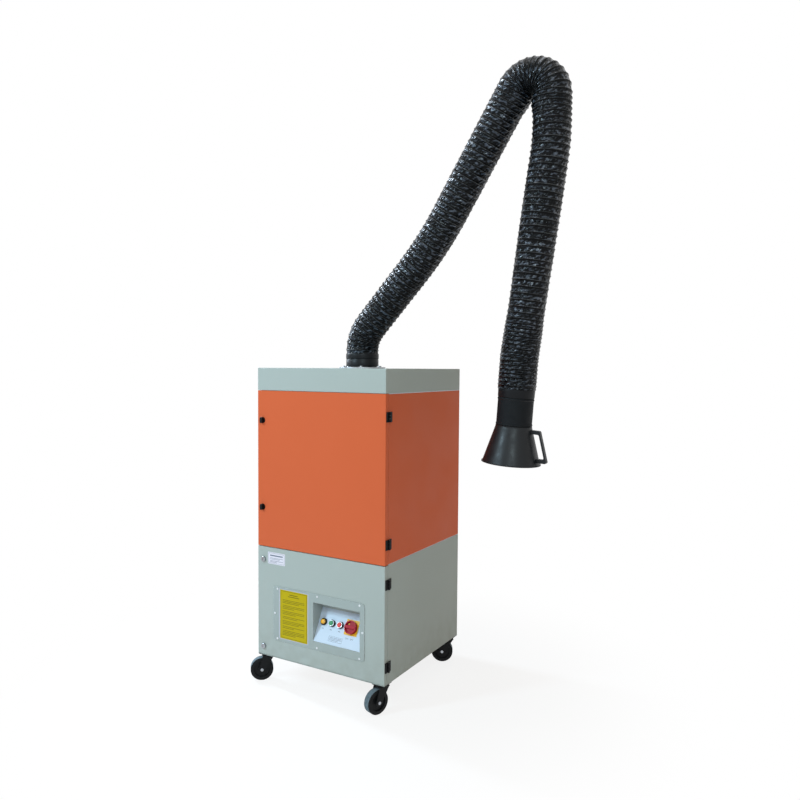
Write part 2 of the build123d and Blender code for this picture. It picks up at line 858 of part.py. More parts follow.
gland_spot = (-gland_centre[0], gland_centre[1])
gland_tail = 2 * sheet + gland_nut
with BuildPart() as cable_gland:
    with BuildSketch(back_plane):
        with Locations(gland_spot):
            RegularPolygon(gland_radius, 6)
    extrude(amount=gland_length / 2)
    with BuildSketch(back_plane.offset(-sheet)):
        with Locations(gland_spot):
            RegularPolygon(gland_radius, 6)
    extrude(amount=-gland_nut)
    with BuildSketch(back_plane.offset(-gland_tail)):
        with Locations(gland_spot):
            Circle(gland_thread_radius)
    extrude(amount=gland_tail + gland_length)
    with BuildSketch(back_plane.offset(-gland_tail)):
        with Locations(gland_spot):
            Circle(gland_bore_radius)
    extrude(amount=gland_tail + gland_length, mode=Mode.SUBTRACT)
save(cable_gland.part, "cable_gland")

# Casters: plates with kingpins, forks with axle bolts, wheels with grooved treads
plate_bottom = floor_z - caster_plate_thickness
fork_low = plate_bottom - air_gap - fork_top
axle_z = wheel_radius
arm_inner = wheel_width / 2 + fork_clearance
arm_outer = arm_inner + fork_wall


def caster_place(side_x, side_y):
    """Where a caster's kingpin stands."""
    return (side_x * (half_width - caster_inset), side_y * (back_y - caster_inset))


with BuildPart() as caster_plates:
    for side_x, side_y, _ in caster_places:
        with BuildSketch(Plane.XY.offset(floor_z)):
            with Locations(caster_place(side_x, side_y)):
                Rectangle(caster_plate, caster_plate)
        extrude(amount=-caster_plate_thickness)
        with BuildSketch(Plane.XY.offset(plate_bottom)):
            with Locations(caster_place(side_x, side_y)):
                Circle(kingpin_radius)
        extrude(amount=fork_low - plate_bottom - air_gap)
        with BuildSketch(Plane.XY.offset(fork_low - air_gap)):
            with Locations(caster_place(side_x, side_y)):
                Circle(kingpin_head_radius)
        extrude(amount=-kingpin_head)
save(caster_plates.part, "caster_plates")


def caster_fork(kingpin, turn):
    """A fork that trails behind its kingpin, folded round the wheel, with the axle bolt in place."""
    axle_way = (math.cos(turn), math.sin(turn), 0)
    back_way = (-math.sin(turn), math.cos(turn), 0)
    section = Plane(origin=(*kingpin, 0), x_dir=back_way, z_dir=axle_way)
    axle = (-caster_trail, axle_z)
    with BuildPart() as fork:
        with BuildSketch(Plane(origin=(*kingpin, fork_low), x_dir=back_way, z_dir=(0, 0, 1))):
            Rectangle(2 * fork_top_radius, 2 * arm_outer)
        extrude(amount=fork_wall)
        for side in (-1, 1):
            with BuildSketch(section.offset(side * arm_inner)):
                with BuildLine():
                    Polyline(
                        (-fork_top_radius, fork_low + fork_wall),
                        (-caster_trail - fork_boss_radius, axle_z),
                        (-caster_trail + fork_boss_radius, axle_z),
                        (fork_top_radius, fork_low + fork_wall),
                        close=True,
                    )
                make_face()
                with Locations(axle):
                    Circle(fork_boss_radius)
            extrude(amount=side * fork_wall)
        with BuildSketch(Plane.XY.offset(fork_low)):
            with Locations(kingpin):
                Circle(fork_top_radius)
        extrude(amount=fork_top)
        with BuildSketch(Plane.XY.offset(fork_low)):
            with Locations(kingpin):
                Circle(kingpin_radius + running_clearance)
        extrude(amount=fork_top, mode=Mode.SUBTRACT)
        with BuildSketch(section.offset(-arm_outer)):
            with Locations(axle):
                Circle(axle_radius + running_clearance)
        extrude(amount=2 * arm_outer, mode=Mode.SUBTRACT)
        with BuildSketch(section):
            with Locations(axle):
                Circle(axle_radius)
        extrude(amount=arm_outer + running_clearance, both=True)
        for side in (-1, 1):
            with BuildSketch(section.offset(side * (arm_outer + running_clearance))):
                with Locations(axle):
                    Circle(axle_head_radius)
            extrude(amount=side * axle_head)
    return fork.part


def caster_wheel(kingpin, turn):
    """A wheel with its hub, web and rims, and the grooved tread moulded round it."""
    axle_way = (math.cos(turn), math.sin(turn), 0)
    trail_way = (math.sin(turn), -math.cos(turn), 0)
    centre = (kingpin[0] + caster_trail * trail_way[0], kingpin[1] + caster_trail * trail_way[1], axle_z)
    section = Plane(origin=centre, x_dir=trail_way, z_dir=(0, 0, 1))
    core_radius = wheel_radius - tread_depth
    rim_inner = core_radius - hub_rim
    boss_half = arm_inner - air_gap
    tread_half = wheel_width / 2 - tread_inset
    wheel_bore = axle_radius + running_clearance
    with BuildPart() as wheel:
        with BuildSketch(section):
            with Locations((rim_inner + hub_rim / 2, 0)):
                Rectangle(hub_rim, wheel_width)
            with Locations(((rim_inner + hub_boss_radius) / 2, 0)):
                Rectangle(rim_inner - hub_boss_radius + hub_rim, hub_web)
            with Locations(((hub_boss_radius + wheel_bore) / 2, 0)):
                Rectangle(hub_boss_radius - wheel_bore, 2 * boss_half)
            with Locations((core_radius + tread_depth / 2, 0)):
                Rectangle(tread_depth, 2 * tread_half)
            with Locations((wheel_radius, 0)):
                with GridLocations(0, 2 * tread_half / tread_groove_count, 1, tread_groove_count):
                    Rectangle(2 * tread_groove, tread_groove, mode=Mode.SUBTRACT)
        revolve(axis=Axis(centre, axle_way))
    return wheel.part


for number, (side_x, side_y, degrees) in enumerate(caster_places, start=1):
    kingpin = caster_place(side_x, side_y)
    save(caster_fork(kingpin, math.radians(degrees)), f"caster_fork_{number}")
    save(caster_wheel(kingpin, math.radians(degrees)), f"caster_wheel_{number}")

# Arm base: a flanged duct through the cap, bolted down
duct_top = sleeve_top - spider_height - turning_gap
with BuildPart() as arm_flange:
    with BuildSketch(Plane.XY.offset(top_z)):
        Circle(flange_radius)
    extrude(amount=flange_thickness)
    fillet(arm_flange.edges().sort_by(Axis.Z)[-1], sheet)
    with BuildSketch(Plane.XY.offset(top_z - duct_tail)):
        Circle(duct_radius)
    extrude(amount=duct_top - top_z + duct_tail)
    with BuildSketch(Plane.XY.offset(top_z - duct_tail)):
        Circle(duct_radius - duct_wall)
    extrude(amount=duct_top - top_z + duct_tail, mode=Mode.SUBTRACT)
    with BuildSketch(Plane.XY.offset(top_z)):
        with PolarLocations(flange_bolt_circle, flange_bolt_count):
            Circle(flange_bolt_radius + running_clearance)
    extrude(amount=flange_thickness, mode=Mode.SUBTRACT)
save(arm_flange.part, "arm_flange")

with BuildPart() as flange_bolts:
    with BuildSketch(Plane.XY.offset(top_z - bolt_tail)):
        with PolarLocations(flange_bolt_circle, flange_bolt_count):
            Circle(flange_bolt_radius)
    extrude(amount=bolt_tail + flange_thickness)
    with BuildSketch(Plane.XY.offset(top_z + flange_thickness)):
        with PolarLocations(flange_bolt_circle, flange_bolt_count):
            RegularPolygon(bolt_head_radius, 6)
    extrude(amount=bolt_head)
save(flange_bolts.part, "flange_bolts")


def over_cap(place):
    """A place in the arm's plane over the floor, from its reach and its height over the cap."""
    return (place[0], top_z + place[1])


# Turntable: a sleeve that turns on the duct, with a spider and two ears for the shoulder pin
shoulder = over_cap((0, shoulder_rise))
elbow_inner = over_cap(inner_pivot)
elbow_outer = over_cap(outer_pivot)
collar_top = over_cap(collar_place)
sleeve_bottom = top_z + flange_thickness + air_gap
sleeve_radius = duct_radius + running_clearance + sleeve_wall
ear_near = eye_thickness / 2 + ear_gap
ear_far = ear_near + ear_thickness
pin_hole = pin_radius + running_clearance
with BuildPart() as arm_turntable:
    with BuildSketch(Plane.XY.offset(sleeve_bottom)):
        Circle(sleeve_radius)
        Circle(sleeve_radius - sleeve_wall, mode=Mode.SUBTRACT)
    extrude(amount=sleeve_top - sleeve_bottom)
    with BuildSketch(Plane.XY.offset(sleeve_top - spider_height)):
        Rectangle(spider_width, 2 * sleeve_radius)
        Circle(sleeve_radius, mode=Mode.INTERSECT)
    extrude(amount=spider_height)
    for side in (-1, 1):
        with BuildSketch(arm_plane.offset(side * ear_near)):
            with Locations(shoulder):
                Circle(eye_radius)
            with Locations((0, (shoulder[1] + sleeve_top - spider_height) / 2)):
                Rectangle(2 * eye_radius, shoulder[1] - sleeve_top + spider_height)
            with Locations(shoulder):
                Circle(pin_hole, mode=Mode.SUBTRACT)
        extrude(amount=side * ear_thickness)
save(arm_turntable.part, "arm_turntable")


def pivot_pins(places):
    """Pivot pins through ears, with a head at each end."""
    with BuildPart() as pins:
        with BuildSketch(arm_plane):
            with Locations(*places):
                Circle(pin_radius)
        extrude(amount=ear_far, both=True)
        for side in (-1, 1):
            with BuildSketch(arm_plane.offset(side * ear_far)):
                with Locations(*places):
                    Circle(pin_head_radius)
            extrude(amount=side * pin_head)
    return pins.part


def arm_bar(start, end):
    """A tube between two flat eyes."""
    length = math.dist(start, end)
    way = ((end[0] - start[0]) / length, (end[1] - start[1]) / length)
    heading = math.degrees(math.atan2(way[1], way[0]))
    tube_length = length - 2 * bar_neck + 2 * sheet
    reach = bar_neck - sheet
    tube_plane = Plane(
        origin=(start[0] + reach * way[0], 0, start[1] + reach * way[1]),
        x_dir=(0, 1, 0),
        z_dir=(way[0], 0, way[1]),
    )
    with BuildPart() as bar:
        for centre, sign in ((start, 1), (end, -1)):
            neck = (centre[0] + sign * way[0] * bar_neck / 2, centre[1] + sign * way[1] * bar_neck / 2)
            with BuildSketch(arm_plane):
                with Locations(centre):
                    Circle(eye_radius)
                with Locations(neck):
                    Rectangle(bar_neck, neck_width, rotation=heading)
            extrude(amount=eye_thickness / 2, both=True)
        with BuildSketch(tube_plane):
            Circle(bar_radius)
        extrude(amount=tube_length)
        with BuildSketch(tube_plane.offset(2 * bar_wall)):
            Circle(bar_radius - bar_wall)
        extrude(amount=tube_length - 4 * bar_wall, mode=Mode.SUBTRACT)
        with BuildSketch(arm_plane):
            with Locations(start, end):
                Circle(pin_hole)
        extrude(amount=eye_thickness, both=True, mode=Mode.SUBTRACT)
    return bar.part


# Hood axis and the wrist pivot on it
lean = math.radians(hood_lean)
axis_up = (math.sin(lean), math.cos(lean))
axis_out = (math.cos(lean), -math.sin(lean))


def on_hood_axis(rise):
    """A place on the hood's axis, measured up from the collar's top."""
    return (collar_top[0] + rise * axis_up[0], collar_top[1] + rise * axis_up[1])


wrist = on_hood_axis(wrist_height)
collar_origin = (collar_top[0], 0, collar_top[1])
hood_section = Plane(origin=collar_origin, x_dir=(axis_out[0], 0, axis_out[1]), z_dir=(0, 1, 0))
hood_axis = Axis(collar_origin, (-axis_up[0], 0, -axis_up[1]))

save(pivot_pins([shoulder]), "shoulder_pin")
save(pivot_pins([elbow_inner, elbow_outer]), "elbow_pins")
save(pivot_pins([wrist]), "wrist_pin")
save(arm_bar(shoulder, elbow_inner), "lower_arm_bar")
save(arm_bar(elbow_outer, wrist), "upper_arm_bar")

# Elbow link: two side plates round both elbow eyes, joined by a spacer
link_middle = ((elbow_inner[0] + elbow_outer[0]) / 2, (elbow_inner[1] + elbow_outer[1]) / 2)
link_heading = math.degrees(
    math.atan2(elbow_outer[1] - elbow_inner[1], elbow_outer[0] - elbow_inner[0])
)
link_length = math.dist(elbow_inner, elbow_outer)
with BuildPart() as elbow_link:
    for side in (-1, 1):
        with BuildSketch(arm_plane.offset(side * ear_near)):
            with Locations(link_middle):
                SlotCenterToCenter(link_length, 2 * eye_radius, rotation=link_heading)
            with Locations(elbow_inner, elbow_outer):
                Circle(pin_hole, mode=Mode.SUBTRACT)
        extrude(amount=side * ear_thickness)
    with BuildSketch(arm_plane):
        with Locations(link_middle):
            Rectangle(link_spacer, 2 * eye_radius, rotation=link_heading)
    extrude(amount=ear_far, both=True)
save(elbow_link.part, "elbow_link")

# Hood collar: tilts on the wrist pin, with a spigot for the hose and a bar and ears across its bore
spigot_radius = hose_bore_radius - air_gap
spigot_inner = spigot_radius - sleeve_wall
collar_inner = collar_radius - collar_wall
bar_plane = Plane(
    origin=collar_origin,
    x_dir=(axis_out[0], 0, axis_out[1]),
    z_dir=(axis_up[0], 0, axis_up[1]),
)
ear_foot = on_hood_axis(collar_wall + wrist_bar_height / 2)
ear_middle = ((ear_foot[0] + wrist[0]) / 2, (ear_foot[1] + wrist[1]) / 2)
with BuildPart() as hood_collar:
    with BuildSketch(hood_section):
        with BuildLine():
            Polyline(
                (spigot_inner, -spigot_length),
                (spigot_radius, -spigot_length),
                (spigot_radius, 0),
                (collar_radius, 0),
                (collar_radius, collar_length),
                (collar_inner, collar_length),
                (collar_inner, collar_wall),
                (spigot_inner, collar_wall),
                close=True,
            )
        make_face()
        for height in (bead_inset, collar_length - bead_inset):
            with Locations(((collar_radius + bead_radius) / 2, height)):
                Rectangle(bead_radius - collar_radius, bead_height)
    revolve(axis=hood_axis)
    with BuildSketch(bar_plane.offset(collar_wall)):
        Rectangle(wrist_bar_width, 2 * spigot_radius)
        Circle(spigot_radius, mode=Mode.INTERSECT)
    extrude(amount=wrist_bar_height)
    for side in (-1, 1):
        with BuildSketch(arm_plane.offset(side * ear_near)):
            with Locations(wrist):
                Circle(eye_radius)
            with Locations(ear_middle):
                Rectangle(2 * eye_radius, math.dist(ear_foot, wrist), rotation=-hood_lean)
            with Locations(wrist):
                Circle(pin_hole, mode=Mode.SUBTRACT)
        extrude(amount=side * ear_thickness)
save(hood_collar.part, "hood_collar")

# Hood: a cone whose neck turns in the collar, with a lip round its rim, and a handle on its outer side
hood_neck_outer = collar_inner - running_clearance
hood_neck_inner = hood_neck_outer - hood_wall
hood_shoulder = collar_length + turning_gap
cone_end = hood_length - rim_height
with BuildPart() as hood_cone:
    with BuildSketch(hood_section):
        with BuildLine():
            Polyline(
                (hood_neck_inner, collar_length - neck_length),
                (hood_neck_outer, collar_length - neck_length),
                (hood_neck_outer, hood_shoulder),
                (bead_radius, hood_shoulder),
                (bead_radius, hood_shoulder + bead_height),
                (cone_top_radius, cone_start),
                (cone_rim_radius, cone_end),
                (rim_radius, cone_end),
                (rim_radius, hood_length),
                (cone_rim_radius - hood_wall, hood_length),
                (cone_rim_radius - hood_wall, cone_end),
                (cone_top_radius - hood_wall, cone_start),
                (hood_neck_inner, hood_shoulder + bead_height),
                close=True,
            )
        make_face()
    revolve(axis=hood_axis)
save(hood_cone.part, "hood_cone")

handle_slope = (handle_bottom_reach - handle_top_reach) / (handle_bottom - handle_top)
handle_thickness = handle_bar * math.hypot(1, handle_slope)
handle_root = cone_top_radius - handle_arm


def handle_reach(height):
    """How far the handle's outer edge stands from the hood's axis."""
    return handle_top_reach + handle_slope * (height - handle_top)


gap_top = handle_top + handle_arm
gap_bottom = handle_bottom - handle_arm
with BuildPart() as hood_handle:
    with BuildSketch(hood_section):
        with BuildLine():
            FilletPolyline(
                (handle_root, handle_top),
                (handle_top_reach, handle_top),
                (handle_bottom_reach, handle_bottom),
                (handle_root, handle_bottom),
                radius=handle_corner,
                close=True,
            )
        make_face()
        with BuildLine():
            FilletPolyline(
                (handle_root, gap_top),
                (handle_reach(gap_top) - handle_thickness, gap_top),
                (handle_reach(gap_bottom) - handle_thickness, gap_bottom),
                (handle_root, gap_bottom),
                radius=handle_corner,
                close=True,
            )
        make_face(mode=Mode.SUBTRACT)
    extrude(amount=handle_width / 2, both=True)
    cone_slope = (cone_rim_radius - cone_top_radius) / (cone_end - cone_start)
    with BuildSketch(hood_section):
        with BuildLine():
            Polyline(
                (0, cone_start - handle_width),
                (cone_top_radius - cone_slope * handle_width, cone_start - handle_width),
                (cone_rim_radius, cone_end),
                (0, cone_end),
                close=True,
            )
        make_face()
    revolve(axis=hood_axis, mode=Mode.SUBTRACT)
save(hood_handle.part, "hood_handle")

# Hose route: straight runs joined by arcs, from the turntable over the elbow to the collar
last_cut = hose_radii[-1] * math.tan(math.radians(hood_lean) / 2)
wrist_corner = on_hood_axis(2 * cuff_radius + last_cut)
route_corners = (hose_start, base_corner, lower_bend, elbow_corner, elbow_far_corner, upper_bend)
hose_route = (*[over_cap(corner) for corner in route_corners], wrist_corner, collar_top)


def route_legs(points, radii):
    """The route's runs and arcs in turn, each as its start, heading, length and turn."""
    headings = [math.atan2(b[1] - a[1], b[0] - a[0]) for a, b in zip(points, points[1:])]
    turns = [math.remainder(b - a, math.tau) for a, b in zip(headings, headings[1:])]
    cuts = [0] + [radius * math.tan(abs(turn) / 2) for radius, turn in zip(radii, turns)] + [0]
    legs = []
    for number, heading in enumerate(headings):
        start = points[number]
        way = (math.cos(heading), math.sin(heading))
        run = math.dist(start, points[number + 1]) - cuts[number] - cuts[number + 1]
        first = (start[0] + cuts[number] * way[0], start[1] + cuts[number] * way[1])
        legs.append((first, heading, run, 0))
        if number < len(turns):
            bend = (first[0] + run * way[0], first[1] + run * way[1])
            legs.append((bend, heading, radii[number] * abs(turns[number]), turns[number]))
    return legs


hose_legs = route_legs(hose_route, hose_radii)


def route_place(distance):
    """The place and heading at a distance along the route."""
    for leg in hose_legs:
        start, heading, length, turn = leg
        if distance <= length or leg is hose_legs[-1]:
            break
        distance -= length
    if not turn:
        return (start[0] + distance * math.cos(heading), start[1] + distance * math.sin(heading)), heading
    radius = length / turn
    after = heading + turn * distance / length
    place = (
        start[0] + radius * (math.sin(after) - math.sin(heading)),
        start[1] - radius * (math.cos(after) - math.cos(heading)),
    )
    return place, after


def ring_plane(distance):
    """A plane square to the route, with its X axis always along +Y."""
    place, heading = route_place(distance)
    return Plane(
        origin=(place[0], 0, place[1]),
        x_dir=(0, 1, 0),
        z_dir=(math.cos(heading), 0, math.sin(heading)),
    )


def hose_span(begin, end, first_cuff, last_cuff):
    """A stretch of hose: ribs of four circles each, a smooth cuff at a fixed end, and its bore."""
    ribs_from = begin + first_cuff
    ribs_to = end - last_cuff
    count = round((ribs_to - ribs_from) / rib_pitch)
    pitch = (ribs_to - ribs_from) / count
    starts = [ribs_from + number * pitch for number in range(count + 1)]
    rings = []
    if first_cuff:
        rings += [(begin, cuff_radius), (ribs_from - sheet, cuff_radius)]
    for place in starts[:-1]:
        rings.append((place, hose_root_radius))
        rings.append((place + root_share * pitch, hose_root_radius))
        rings.append((place + rise_share * pitch, hose_crest_radius))
        rings.append((place + crest_share * pitch, hose_crest_radius))
    rings.append((ribs_to, hose_root_radius))
    if last_cuff:
        rings += [(ribs_to + sheet, cuff_radius), (end, cuff_radius)]
    bore = sorted({begin, end, *starts})
    with BuildPart() as hose:
        for distance, radius in rings:
            with BuildSketch(ring_plane(distance)):
                Circle(radius)
        loft(ruled=True)
        for distance in bore:
            with BuildSketch(ring_plane(distance)):
                Circle(hose_bore_radius)
        loft(ruled=True, mode=Mode.SUBTRACT)
    return hose.part, count


reaches = [sum(leg[2] for leg in hose_legs[: number + 1]) for number in range(len(hose_legs))]
hose_spans = (
    ("hose_base", 0, reaches[1] + span_margin, base_cuff, 0),
    ("hose_lower", reaches[1] + span_margin, reaches[4] - span_margin, 0, 0),
    ("hose_elbow", reaches[4] - span_margin, reaches[7] + span_margin, 0, 0),
    ("hose_upper", reaches[7] + span_margin, reaches[10], 0, 0),
    ("hose_wrist", reaches[10], reaches[12], 0, hood_cuff),
)
rib_total = 0
for label, begin, end, first_cuff, last_cuff in hose_spans:
    piece, ribs = hose_span(begin, end, first_cuff, last_cuff)
    rib_total += ribs
    save(piece, label)
print("hose length", round(reaches[-1], 1), "ribs", rib_total)
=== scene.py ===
import json
import math

import bmesh
import bpy
from mathutils import Matrix, Vector, noise


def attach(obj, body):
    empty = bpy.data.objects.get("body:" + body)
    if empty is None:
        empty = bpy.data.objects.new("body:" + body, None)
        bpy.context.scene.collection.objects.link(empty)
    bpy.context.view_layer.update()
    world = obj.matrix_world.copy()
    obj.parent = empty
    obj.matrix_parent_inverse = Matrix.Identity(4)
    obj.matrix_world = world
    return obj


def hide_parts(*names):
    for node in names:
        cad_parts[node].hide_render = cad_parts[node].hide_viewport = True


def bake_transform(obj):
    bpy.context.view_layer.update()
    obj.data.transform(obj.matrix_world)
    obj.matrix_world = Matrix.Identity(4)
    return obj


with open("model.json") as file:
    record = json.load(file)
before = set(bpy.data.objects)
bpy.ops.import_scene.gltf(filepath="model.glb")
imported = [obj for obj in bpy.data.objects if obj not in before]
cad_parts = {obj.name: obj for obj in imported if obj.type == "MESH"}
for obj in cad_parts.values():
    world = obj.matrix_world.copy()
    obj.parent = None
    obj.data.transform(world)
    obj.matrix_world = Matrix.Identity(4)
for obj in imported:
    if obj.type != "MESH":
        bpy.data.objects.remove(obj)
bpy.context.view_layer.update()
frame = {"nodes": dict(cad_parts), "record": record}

# Welding fume extractor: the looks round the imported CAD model, in metres in the CAD's frame.
nodes = frame["nodes"]
MM = 0.001

# Sizes repeated from the CAD source, in millimetres
half_width = 325.0
front_y = -325.0
fascia_face = front_y - 2.0
window_x, window_low = 92.5, 232.0
recess_depth, recess_rise = 65.0, 126.0
control_row = 84.0
lamp_x, green_x, red_x, isolator_x = -88.0, -46.0, -4.0, 52.0
knob_floor = 10.3
bezel_top, collar_height = 7.0, 12.0
bezel_inner, bezel_outer = 10.4, 12.8
turntable_top = 1376.0
collar_top = (730.0, 1257.0)
lean = math.radians(4.0)
kingpin_inset, trail, axle_z = 31.0, 28.0, 49.0
tread_inner, tread_half_width = 45.0, 13.0
bolt_outer, bolt_inner_end = 6.6, 20.0

# Each caster's side in X and in Y, and how many degrees it is turned
casters = ((1, -1, -20.0), (-1, -1, -48.0), (1, 1, -64.0), (-1, 1, -35.0))

# The hose cloth's creases: how many go round, and how far each leans on its way from wire to wire
crease_count = 27
crease_slant = 1.15
streaks_per_crease, streaks_per_rib = 0.95, 2.3
# Where the painted shade beside each wire lies, as a share of the way from wire to wire
painted_shade_step = 0.16


# Shapes

def plane(origin, x_way, normal):
    """A flat frame in metres: local X and Y on the plane, Z out of it."""
    x_way, normal = Vector(x_way).normalized(), Vector(normal).normalized()
    y_way = normal.cross(x_way)
    rows = [[x_way[i], y_way[i], normal[i], origin[i] * MM] for i in range(3)]
    return Matrix(rows + [[0, 0, 0, 1]])


front = plane((0, front_y, 0), (1, 0, 0), (0, -1, 0))
fascia = plane((0, fascia_face, 0), (1, 0, 0), (0, -1, 0))
control = plane((window_x, front_y, window_low), (1, 0, 0), (0, -recess_rise, recess_depth))


def rounded(width, height, radius, steps=5):
    """Corner points of a rectangle with round corners, anticlockwise, in millimetres."""
    points = []
    for turn, (side_x, side_y) in enumerate(((1, 1), (-1, 1), (-1, -1), (1, -1))):
        for step in range(steps + 1):
            angle = math.pi / 2 * (turn + step / steps)
            points.append((
                side_x * (width / 2 - radius) + radius * math.cos(angle),
                side_y * (height / 2 - radius) + radius * math.sin(angle),
            ))
    return points


def spot(mesh, where, x, y, height):
    """Adds a vertex at a place on a plane, in millimetres."""
    return mesh.verts.new(where @ Vector((x * MM, y * MM, height * MM)))


def prism(mesh, points, where, low, high, middle=(0, 0)):
    """Adds a flat-ended block over an outline on a plane, from one height to another."""
    rings = [
        [spot(mesh, where, x + middle[0], y + middle[1], height) for x, y in points]
        for height in (low, high)
    ]
    count = len(points)
    mesh.faces.new(rings[0][::-1])
    mesh.faces.new(rings[1])
    for i in range(count):
        k = (i + 1) % count
        mesh.faces.new((rings[0][i], rings[0][k], rings[1][k], rings[1][i]))


def turned(mesh, outline, where, segments=96):
    """Adds a closed outline of (radius, height) pairs turned round a plane's Z."""
    rings = []
    for i in range(segments):
        angle = math.tau * i / segments
        across, up = math.cos(angle), math.sin(angle)
        rings.append([
            spot(mesh, where, radius * across, radius * up, height) for radius, height in outline
        ])
    for i in range(segments):
        here, after = rings[i], rings[(i + 1) % segments]
        for j in range(len(outline)):
            k = (j + 1) % len(outline)
            mesh.faces.new((here[j], here[k], after[k], after[j]))


def new_object(name, data):
    """An object with some data, linked to the scene."""
    shape = bpy.data.objects.new(name, data)
    bpy.context.scene.collection.objects.link(shape)
    return shape


def piece(name, mesh, body, material, soften=0.0, sharp=35.0):
    """Makes an object from a bmesh, with its edges rounded if asked, and sets it on its body."""
    bmesh.ops.recalc_face_normals(mesh, faces=mesh.faces)
    data = bpy.data.meshes.new(name)
    mesh.to_mesh(data)
    mesh.free()
    data.materials.append(material)
    for face in data.polygons:
        face.use_smooth = True
    data.set_sharp_from_angle(angle=math.radians(sharp))
    shape = new_object(name, data)
    if soften:
        bevel = shape.modifiers.new("edges", "BEVEL")
        bevel.width = soften * MM
        bevel.segments = 2
        bevel.limit_method = "ANGLE"
        bevel.angle_limit = math.radians(sharp)
        bevel.harden_normals = True
    if body:
        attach(shape, body)
    return shape


# Finishes

coat_roughness = 0.1
dust_top, pan_underside = 0.30, 0.118
flat_edge_dot, sharp_edge_dot = 0.99, 0.80
metal_edge = 0.0006
unbrushed = (1, 1, 1)
subsurface_radius = (0.004, 0.002, 0.001)


def linear(red, green, blue):
    """A screen colour of 0 to 255 as linear light."""
    parts = [c / 255 for c in (red, green, blue)]
    return (*[c / 12.92 if c <= 0.04045 else ((c + 0.055) / 1.055) ** 2.4 for c in parts], 1.0)


def scaled(colour, factor, lift=0.0):
    """A linear colour made lighter or darker, up to white."""
    return (*[min(1.0, c * factor + lift) for c in colour[:3]], 1.0)


def range_node(tree, low, high, to_low, to_high):
    """A node that maps a value's range onto another, and stops at its ends."""
    node = tree.nodes.new("ShaderNodeMapRange")
    ends = {"From Min": low, "From Max": high, "To Min": to_low, "To Max": to_high}
    for socket, number in ends.items():
        node.inputs[socket].default_value = number
    return node


def math_node(tree, operation, *values):
    """The value of a math node over numbers or the values of other nodes."""
    node = tree.nodes.new("ShaderNodeMath")
    node.operation = operation
    for socket, value in zip(node.inputs, values):
        if isinstance(value, (int, float)):
            socket.default_value = value
        else:
            tree.links.new(value, socket)
    return node.outputs["Value"]


